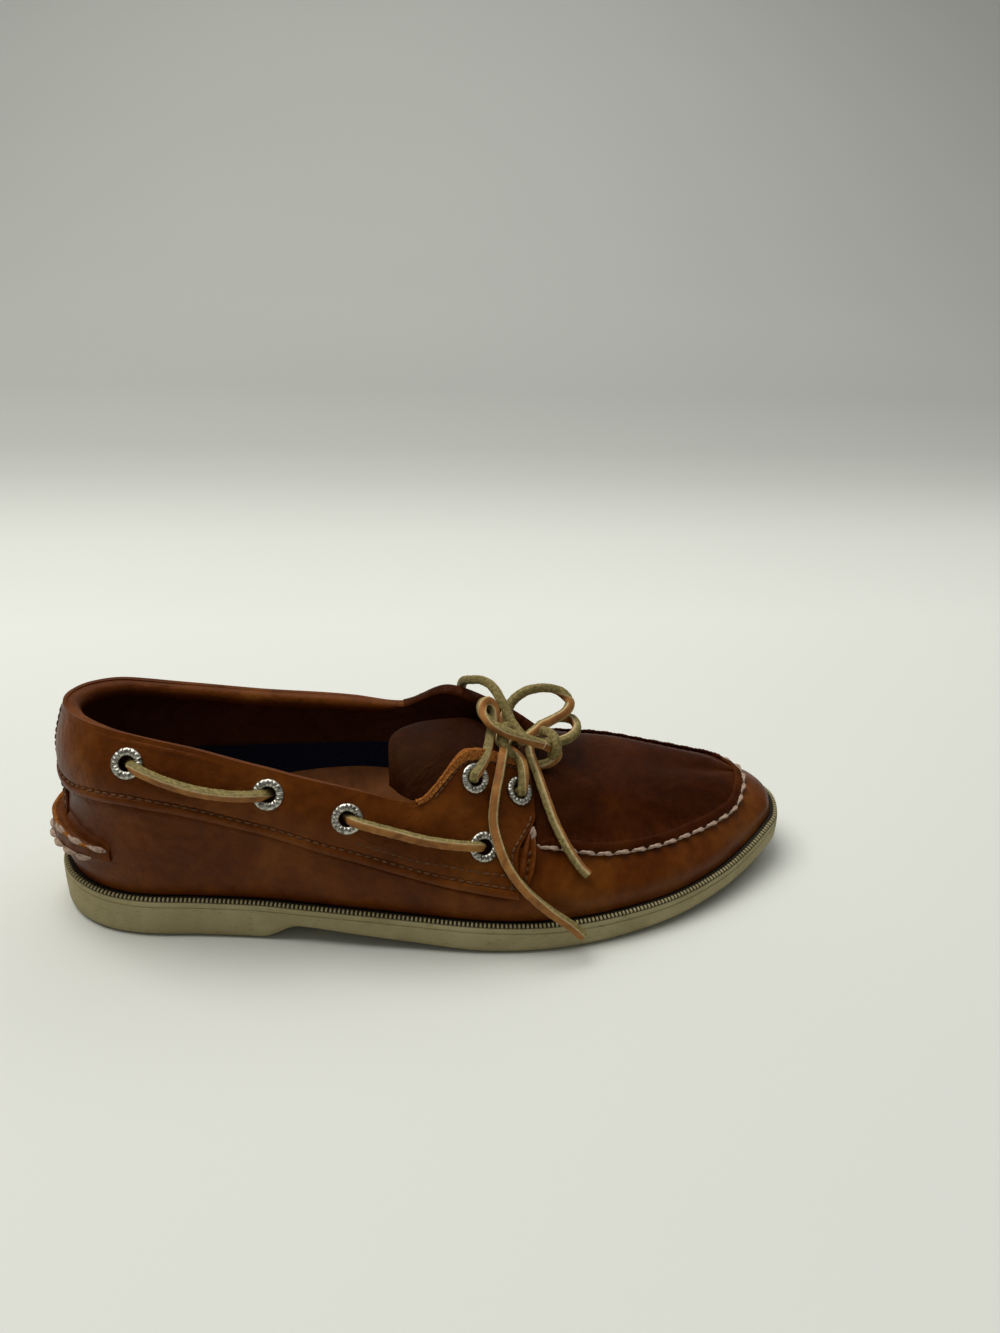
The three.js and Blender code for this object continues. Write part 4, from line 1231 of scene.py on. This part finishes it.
band_row("band_stitches", np.linspace(-11.35, 11.35, 900), 3.5)
for side_name, side in SIDES:
    band_row("band_second_row_" + side_name, side * np.linspace(8.0, 11.35, 200), 7.2)
    t = np.linspace(0.06, 0.55, 80)
    a = side * (band_front(t) - 0.16)
    low_edge = band_level(a)
    stitch_row("wing_front_stitches_" + side_name, a, low_edge + (4 - low_edge) * t, BAND_WALL + 0.2, 2.6)
    a = side * np.linspace(9.35, 11.7, 120)
    w = 4 - 3.7 / np.linalg.norm(skin(a, 4.0) - skin(a, 3.9), axis=1) * 0.1
    stitch_row("wing_edge_stitches_" + side_name, a, w, BAND_WALL + 0.15, 2.6)

# %% [markdown]
# The sole is moulded rubber. Its section is drawn once and carried round the outline: a flat ledge under the
# leather, a fine line below the rim, a plain side and a round lower corner. Underneath it closes on its middle.

# %% The rubber


def rubber_finish(name, with_dirt_and_shade):
    material, shader = new_finish(name, Roughness=0.78, Specular_IOR_Level=0.25)
    cream = ramp(material, noise(material, 60, detail=6, distortion=0.4), [
        (0.25, (0.27, 0.222, 0.105)), (0.5, (0.35, 0.295, 0.15)), (0.78, (0.42, 0.365, 0.2))])
    marks = ramp(material, noise(material, 420, detail=5, stretch=(1, 1, 3)), [
        (0.26, (0.62, 0.6, 0.55)), (0.42, (1, 1, 1))])
    colour = mix(material, 0.8, cream, marks, "MULTIPLY")
    if with_dirt_and_shade:
        place = add_node(material, "ShaderNodeSeparateXYZ")
        link(material, add_node(material, "ShaderNodeTexCoord").outputs["UV"], place.inputs["Vector"])
        # Painted shadow with some grime: the ledge's top, between the teeth and the leather, is painted near black for
        # the shadow in the gap under the upper. The underside is a little darker with grime.
        dirt_and_painted_shade = ramp(material, place.outputs["Y"], [
            (0.0, (0.03, 0.022, 0.015)), (0.3, (0.05, 0.04, 0.028)), (0.33, (1, 1, 1)), (0.62, (1, 1, 1)),
            (0.72, (0.8, 0.77, 0.7))])
        colour = mix(material, 1.0, colour, dirt_and_painted_shade, "MULTIPLY")
    link(material, colour, shader.inputs["Base Color"])
    bump(material, shader, (noise(material, 500, detail=5), 0.00012), (noise(material, 70, detail=3), 0.0003))
    return material


# The rim's teeth get the rubber without the painted shadow and grime.
rubber, rubber_without_dirt_or_shade = rubber_finish("cream_rubber", True), rubber_finish("rim_rubber", False)
print("rubber", rubber.name, rubber_without_dirt_or_shade.name)

# %% [markdown]
# Each row of the section says where the sole's surface goes: how far in from the outline, and how high between
# the ground and the ledge. One grid carries the section round the whole outline.

# %% The outsole
SOLE_SECTION = [  # share towards the middle, inset, share of the height, millimetres added to the height
    (1, 4, 1, -0.5), (0.5, 4, 1, -0.5), (0.12, 4, 1, -0.5), (0, 3.9, 1, -0.45), (0, 3.3, 1, -0.1), (0, 2.4, 1, 0),
    (0, 1.3, 1, -0.1), (0, 0.6, 1, -0.4), (0, 0.15, 1, -1), (0, 0, 1, -1.8), (0, 0, 1, -2.5), (0, 0.3, 1, -2.85),
    (0, -0.05, 1, -3.2), (0, -0.1, 0.6, 0), (0, 0, 0.35, 0.6), (0, 0.12, 0, 3.2), (0, 0.6, 0, 1.5), (0, 1.4, 0, 0.5),
    (0, 2.6, 0, 0), (0, 4, 0, 0), (0.12, 4, 0, 0), (0.3, 4, 0, 0), (0.5, 4, 0, 0), (0.75, 4, 0, 0), (1, 4, 0, 0),
]


def sole_spot(s, t):
    a = (2 * s - 1) * SPANS
    row = t * (len(SOLE_SECTION) - 1)
    inward, inset, high, add = read(SOLE_SECTION, np.arange(len(SOLE_SECTION)), row).T
    near = outline(a, inset)
    middle = (outline(a, 4) + outline(-a, 4)) / 2
    place = near + (middle - near) * inward[:, None]
    x = outline(a)[:, 0]
    top, bottom = along(SOLE, 1, x), along(SOLE, 2, x)
    return np.c_[place, bottom + (top - bottom) * high + add]


outsole = lay("sole_body", 640, 48, sole_spot)
edit(outsole, bpy.ops.mesh.normals_make_consistent)
done(outsole, rubber, "rubber", "outsole", angle=40)

# %% [markdown]
# The ledge is cut into fine teeth all round, like the edge of a coin. One tooth is a bevelled cube, and it is
# copied at every place on the rim.

# %% The rim's teeth
TOOTH = [0.76, 1.5, 1.2]  # a tooth's length along the rim, its depth and its height
bpy.ops.object.select_all(action="DESELECT")
bpy.ops.mesh.primitive_cube_add(size=1)
cube = bpy.context.object
shape_with(cube, "BEVEL", width=0.16, segments=1)
tooth = pattern_of(cube, lambda points: points * TOOTH)
a = np.linspace(-SPANS, SPANS, 2400)
rim_line = np.c_[outline(a, 1.2), along(SOLE, 1, outline(a)[:, 0]) - 0.2]
rim_out = np.c_[(outline(a, 0) - outline(a, 3)) * 0.1, np.ones(len(a))]
sew("rim_teeth", tooth, *evenly(rim_line, rim_out, 1.56), rubber_without_dirt_or_shade, "rubber")

# %% [markdown]
# Low on the heel the leather is gathered into a stiff lip that helps kick the shoe off. Its section is carried
# round the heel and shrinks to a point on each side.

# %% The heel lip
LIP = np.array([  # how far out and how high, from the foot to the head, at the middle of the heel
    [-0.4, 26.5], [0.9, 28.2], [2.6, 29.0], [4.1, 29.6], [4.7, 30.8], [4.9, 33.0], [5.0, 35.2], [4.9, 36.9],
    [4.3, 37.9], [3.4, 38.2], [2.4, 38.3], [1.4, 39.2], [0.6, 41.2], [-0.4, 43.5],
])
LIP_REACH = 3.35


def lip_place(u, out_by, z):
    """Points and outs of the lip at u from -1 to 1; it narrows to a point at z = 32.5."""
    swell = np.sqrt(np.clip(1 - 0.97 * np.abs(u) ** 2.4, 0, 1))
    z = 32.5 + (z - 32.5) * (0.35 + 0.65 * swell)
    w = level(u * LIP_REACH, z)
    out = skin_out(u * LIP_REACH, w)
    return skin(u * LIP_REACH, w) + out * (out_by * swell)[:, None], out, swell


def lip_spot(s, t):
    u = 2 * s - 1
    out_by, z = read(LIP, np.linspace(0, 1, len(LIP)), t).T
    here, out, swell = lip_place(u, out_by, z)
    run = seam_place(u * LIP_REACH)
    proud = smooth(out_by, 1, 4.5) * swell
    ruffle = 0.7 * (creases(np.c_[run, z * 0.6, run * 0], 4.5) - 0.5) + 0.2 * np.cos(2 * pi * run / STITCH)
    here = here + out * (ruffle * proud)[:, None]
    here[:, 2] += 1.1 * (creases(np.c_[run, run * 0, run * 0], 7) - 0.5) * proud
    return here


lip = lay("heel_lip", 180, 44, lip_spot)
thicken(lip, 1.2, offset=-1)
done(lip, brown_leather, "leather", "heel_kicker", angle=70)

# %% [markdown]
# The lip is sewn with the same heavy stitch as the plug: a full row under its head, and a shorter row over it on
# each side.

# %% The lip's stitches


def lip_line(low, high, out_by, z, count=260):
    """Points and outs along the lip from u = low to high."""
    u = np.linspace(low, high, count)
    points, outs, _ = lip_place(u, np.full(count, out_by), np.full(count, z))
    return points, outs


heavy = twisted_stitch(STITCH * 1.06, 0.95)
lower_points, lower_outs = lip_line(-0.86, 0.86, 5.4, 31.2)
sew("lip_lower_stitches", heavy, *evenly(lower_points, lower_outs - [0, 0, 0.35], STITCH), thread)
for side_name, low, high in (("lateral", 0.4, 1.0), ("medial", -1.0, -0.4)):
    points, outs = lip_line(low, high, 5.5, 38.5)
    sew("lip_upper_stitches_" + side_name, heavy, *evenly(points, outs + [0, 0, 0.8], STITCH), thread)

# %% [markdown]
# A raw suede edge shows along the top of the lip. It is a thin tube whose radius wavers, so it looks torn.

# %% The lip's raw edge


def lip_edge_spot(s, t):
    u = (2 * s - 1) * 0.97
    turn = 2 * pi * t
    place, out, swell = lip_place(u, np.full(len(u), 4.6), np.full(len(u), 37.9))
    run = seam_place(u * LIP_REACH)
    uneven = 0.35 * (creases(np.c_[run, t * 3, run * 0], 3) - 0.5)
    lift = 1.1 * (creases(np.c_[run, run * 0, run * 0], 7) - 0.5) * swell
    place = place + out * (np.cos(turn) * 0.85 + uneven)[:, None]
    place[:, 2] += np.sin(turn) * 0.6 + lift
    return place


lip_edge = lay("heel_lip_raw_edge", 180, 10, lip_edge_spot)
edit(lip_edge, bpy.ops.mesh.normals_make_consistent)
done(lip_edge, suede, "leather", angle=80)

# %% [markdown]
# A panel covers the back seam between the lip and the band. It is sewn down on both sides, and three rows of
# stitches go up the band over it.

# %% The heel panel


def heel_panel_spot(s, t):
    a = (2 * s - 1) * 1.32
    w_low, w_high = level(a, np.full(len(a), 39.0)), band_level(a) + 0.1
    w = w_low + (w_high - w_low) * t
    place = skin(a, w)
    return place + skin_out(a, w) * (0.15 + 0.4 * (creases(place, 12) - 0.5))[:, None]


heel_panel = lay("heel_panel", 60, 30, heel_panel_spot)
thicken(heel_panel, 1.1, offset=1)
shape_with(heel_panel, "BEVEL", width=0.0003, segments=2, limit_method="ANGLE", angle_limit=radians(50))
done(heel_panel, brown_leather, "leather")
for side_name, side in SIDES:
    z = np.linspace(41.5, 54, 60)
    a = np.full(60, side * 1.15)
    stitch_row("panel_stitches_" + side_name, a, level(a, z), 1.4)
for name, place in (("lateral", 0.36), ("middle", 0.0), ("medial", -0.36)):
    z = np.linspace(58.5, 80, 60)
    a = np.full(60, place)
    stitch_row("back_stitches_" + name, a, level(a, z), BAND_WALL + 0.15)

# %% [markdown]
# Each eyelet is a rolled ring of nickel with a notched face. One ring is modelled from a torus and copied to
# the twelve places.

# %% The eyelets
nickel, nickel_shader = new_finish("worn_nickel", Metallic=1.0)
link(nickel, ramp(nickel, noise(nickel, 700, detail=5), [(0.32, (0.1, 0.09, 0.065)), (0.58, (0.55, 0.53, 0.46))]),
     nickel_shader.inputs["Base Color"])
link(nickel, grey(nickel, noise(nickel, 400), 0.22, 0.5), nickel_shader.inputs["Roughness"])

EYELETS = {  # x, then height on the lateral and medial sides
    "side_1": (34.5, 70.2, 68.6), "side_2": (82, 60.8, 60), "side_3": (109, 53, 55), "side_4": (157, 40.3, 43.5),
    "throat_5": (154, 61.4, 62), "throat_6": (171, 52.8, 53.2),
}


def notched(points):
    """The torus flattened behind, with notches cut in its face."""
    turn, radius, z = np.arctan2(points[:, 1], points[:, 0]), np.hypot(points[:, 0], points[:, 1]), points[:, 2]
    notch = (np.cos(turn * 18) > 0.6) & (z > 0.5) & (np.abs(radius - 4.2) < 1.05)
    return np.c_[points[:, :2], np.where(z > 0, z * 0.8, z * 0.5) - 0.3 * notch]


bpy.ops.object.select_all(action="DESELECT")
bpy.ops.mesh.primitive_torus_add(major_segments=96, minor_segments=14, major_radius=4.15, minor_radius=1.42)
ring = pattern_of(bpy.context.object, notched)
holes = []
for name, (x, *heights) in EYELETS.items():
    for (side_name, side), z in zip(SIDES, heights):
        a, w = find(side, x, z)
        place, out = skin(a, w), skin_out(a, w)
        ahead = skin(a + 0.05, w) - skin(a - 0.05, w)
        sew(name + "_ring_" + side_name, ring, place + out * (BAND_WALL + 0.25), ahead, out, nickel, "nickel")
        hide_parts("eyelet_" + name + "_" + side_name)
        holes.append((to_row(place)[0], out[0]))

# %% [markdown]
# A drill stands in every ring. The drills are joined into one piece, and a Boolean takes it away from the wall and
# the band, so the lace really passes through the leather.

# %% The holes
DRILL_RADIUS, DRILL_DEPTH = 0.0034, 0.02
bpy.ops.object.select_all(action="DESELECT")
drills = []
for place, out in holes:
    bpy.ops.mesh.primitive_cylinder_add(vertices=24, radius=DRILL_RADIUS, depth=DRILL_DEPTH, location=place)
    drill = bpy.context.object
    drill.rotation_euler = Vector(out).to_track_quat("Z", "Y").to_euler()
    drills.append(drill)
for drill in drills:
    drill.select_set(True)
bpy.ops.object.join()
drill = bpy.context.object
bpy.ops.object.transform_apply(location=True, rotation=True, scale=True)
for piece in (band, wall):
    shape_with(piece, "BOOLEAN", object=drill, operation="DIFFERENCE", solver="MANIFOLD")
    print(piece.name, "with holes", len(piece.data.polygons), "faces")
bpy.data.objects.remove(drill)

# %% [markdown]
# Along each side the lace comes out of one eyelet and goes in at the next, and it sags a little on the way.

# %% The lace along the sides


def bar_route(side, first, last, sag):
    """Points from one hole to another over the skin, and the outs there."""
    shares = np.array([0, 0.015, 0.05, 0.12, 0.25, 0.4, 0.5, 0.6, 0.75, 0.88, 0.95, 0.985, 1])
    over = np.array([-2.2, -0.6, 2.2, 3.6, 3.9, 3.9, 3.9, 3.9, 3.9, 3.6, 2.2, -0.6, -2.2])
    x = first[0] + (last[0] - first[0]) * shares
    z = first[1] + (last[1] - first[1]) * shares - sag * 4 * shares * (1 - shares)
    a, w = find(side, x, z)
    out = skin_out(a, w)
    return skin(a, w) + out * over[:, None], out


for (side_name, side), k in zip(SIDES, (1, 2)):
    for bar, first, last, sag, lean in (("rear", "side_1", "side_2", 3.2, 0.22),
                                        ("front", "side_3", "side_4", 0.4, -0.12)):
        ends = [(EYELETS[end][0], EYELETS[end][k]) for end in (first, last)]
        route, outs = bar_route(side, *ends, sag)
        piece, _, _ = sweep_lace("lace_bar_%s_%s_rawhide" % (bar, side_name), route, outs * [1, 1, 0.3] - [0, 0, lean])
        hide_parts("lace_bar_%s_%s" % (bar, side_name))

# %% [markdown]
# The last stretch crosses the throat under the knot, from eyelet to eyelet. The two leads start inside the top
# eyelets, so each has a short root that comes up out of its hole.

# %% The lace across the throat


def out_of_hole(eyelet, side, above):
    """Points that lead up out of an eyelet's hole."""
    x, *heights = EYELETS[eyelet]
    a, w = find(side, x, heights[0 if side > 0 else 1])
    return [(skin(a, w) + skin_out(a, w) * k)[0] for k in above]


throat_bar, _, length = sweep_lace("lace_throat_bar_rawhide", [
    *out_of_hole("throat_6", 1, [-1.6, 0.5, 3.6]),
    [172.9, -20.5, 62], [168.4, -8, 61.8], [167, 0, 60.8], [168.2, 8, 62.2], [171.8, 17, 65],
    *out_of_hole("throat_6", -1, [3.6, 0.5, -1.6])],
    [[1, -0.3, 0.5], [0.3, 0, 1], [0, 0, 1], [0.3, 0, 1], [1, 0.3, 0.5]])
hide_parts("lace_throat_bar")
print("throat bar", round(length, 1), "mm")
for name, side in (("lead_lateral", 1), ("lead_medial", -1)):
    route, leads, _ = FREE_LACE[name]
    start = out_of_hole("throat_5", side, [-1.6, 0.2])
    sweep_lace("lace_" + name + "_root", start + [route[0], np.array(route[0]) * 0.7 + np.array(route[1]) * 0.3],
               [leads[0], leads[0]])

# %% [markdown]
# Where the vamp meets the wing the two raw edges are folded into a short tab and sewn down. Two heavier
# stitches close the end of the moccasin seam beside it.

# %% A tab's shape


def tab_place(side):
    """The tab's middle line on the skin, with the outs there."""
    low_z, high_z = (25.5, 42.5) if side > 0 else (28.5, 47)
    z = np.linspace(low_z, high_z, 40)
    a, w = find(side, 170.5 + 4.6 * (z - low_z) / (high_z - low_z), z)
    return skin(a, w), skin_out(a, w)


def tab_spot(s, t, line, outs):
    row, rows = s * (len(line) - 1), np.arange(len(line))
    place, out = read(line, rows, row), read(outs, rows, row)
    half = 2.6 * np.sin(pi * (0.06 + 0.9 * s) ** 0.8) ** 0.7 + 0.3
    across = 2 * t - 1
    fold = 1.5 * np.abs(np.sin(1.5 * pi * t)) * np.sin(pi * (0.04 + 0.92 * s)) + 0.5
    fold = fold + 0.5 * (creases(place * 2 + across[:, None] * 2, 5) - 0.5)
    return place + np.array([1, 0, 0.12]) * (half * across)[:, None] + out * fold[:, None]


print("tabs", [tab_place(side)[0][[0, -1]].round(1).tolist() for _, side in SIDES])

# %% [markdown]
# The tab on each side is laid, thickened and sewn down with four fine stitches up its middle. The seam's two
# heavy stitches come last, one upright and one along the sole.

# %% The tabs at the ends of the seam
for side_name, side in SIDES:
    line, outs = tab_place(side)
    tab = lay("seam_tab_" + side_name, 50, 22, lambda s, t: tab_spot(s, t, line, outs))
    if side > 0:
        edit(tab, bpy.ops.mesh.flip_normals)
    thicken(tab, 0.9)
    done(tab, brown_leather, "leather")
    for k, share in enumerate((0.22, 0.34, 0.46, 0.58)):
        here, out = line[int(share * 40)], outs[int(share * 40)]
        sew("tab_stitch_%s_%d" % (side_name, k), fine, (here + out * 1.9 + [0.4, 0, 0])[None],
            np.array([[0.25, 0, 1.0]]), out[None], brown_thread)
    top, out = line[-4] + outs[-4] * 2.2, outs[-4]
    for name, pattern, away, ahead in (
            ("seam_end_upright_", twisted_stitch(6.0, 1.05), [0.4, 0, -1.6], [[0.12, 0, 1.0]]),
            ("seam_end_flat_", twisted_stitch(7.5, 1.1), [3.2, -0.6, -6.0], [[1.0, 0, -0.18]])):
        sew(name + side_name, pattern, (top + away)[None], np.array(ahead), out[None], thread)
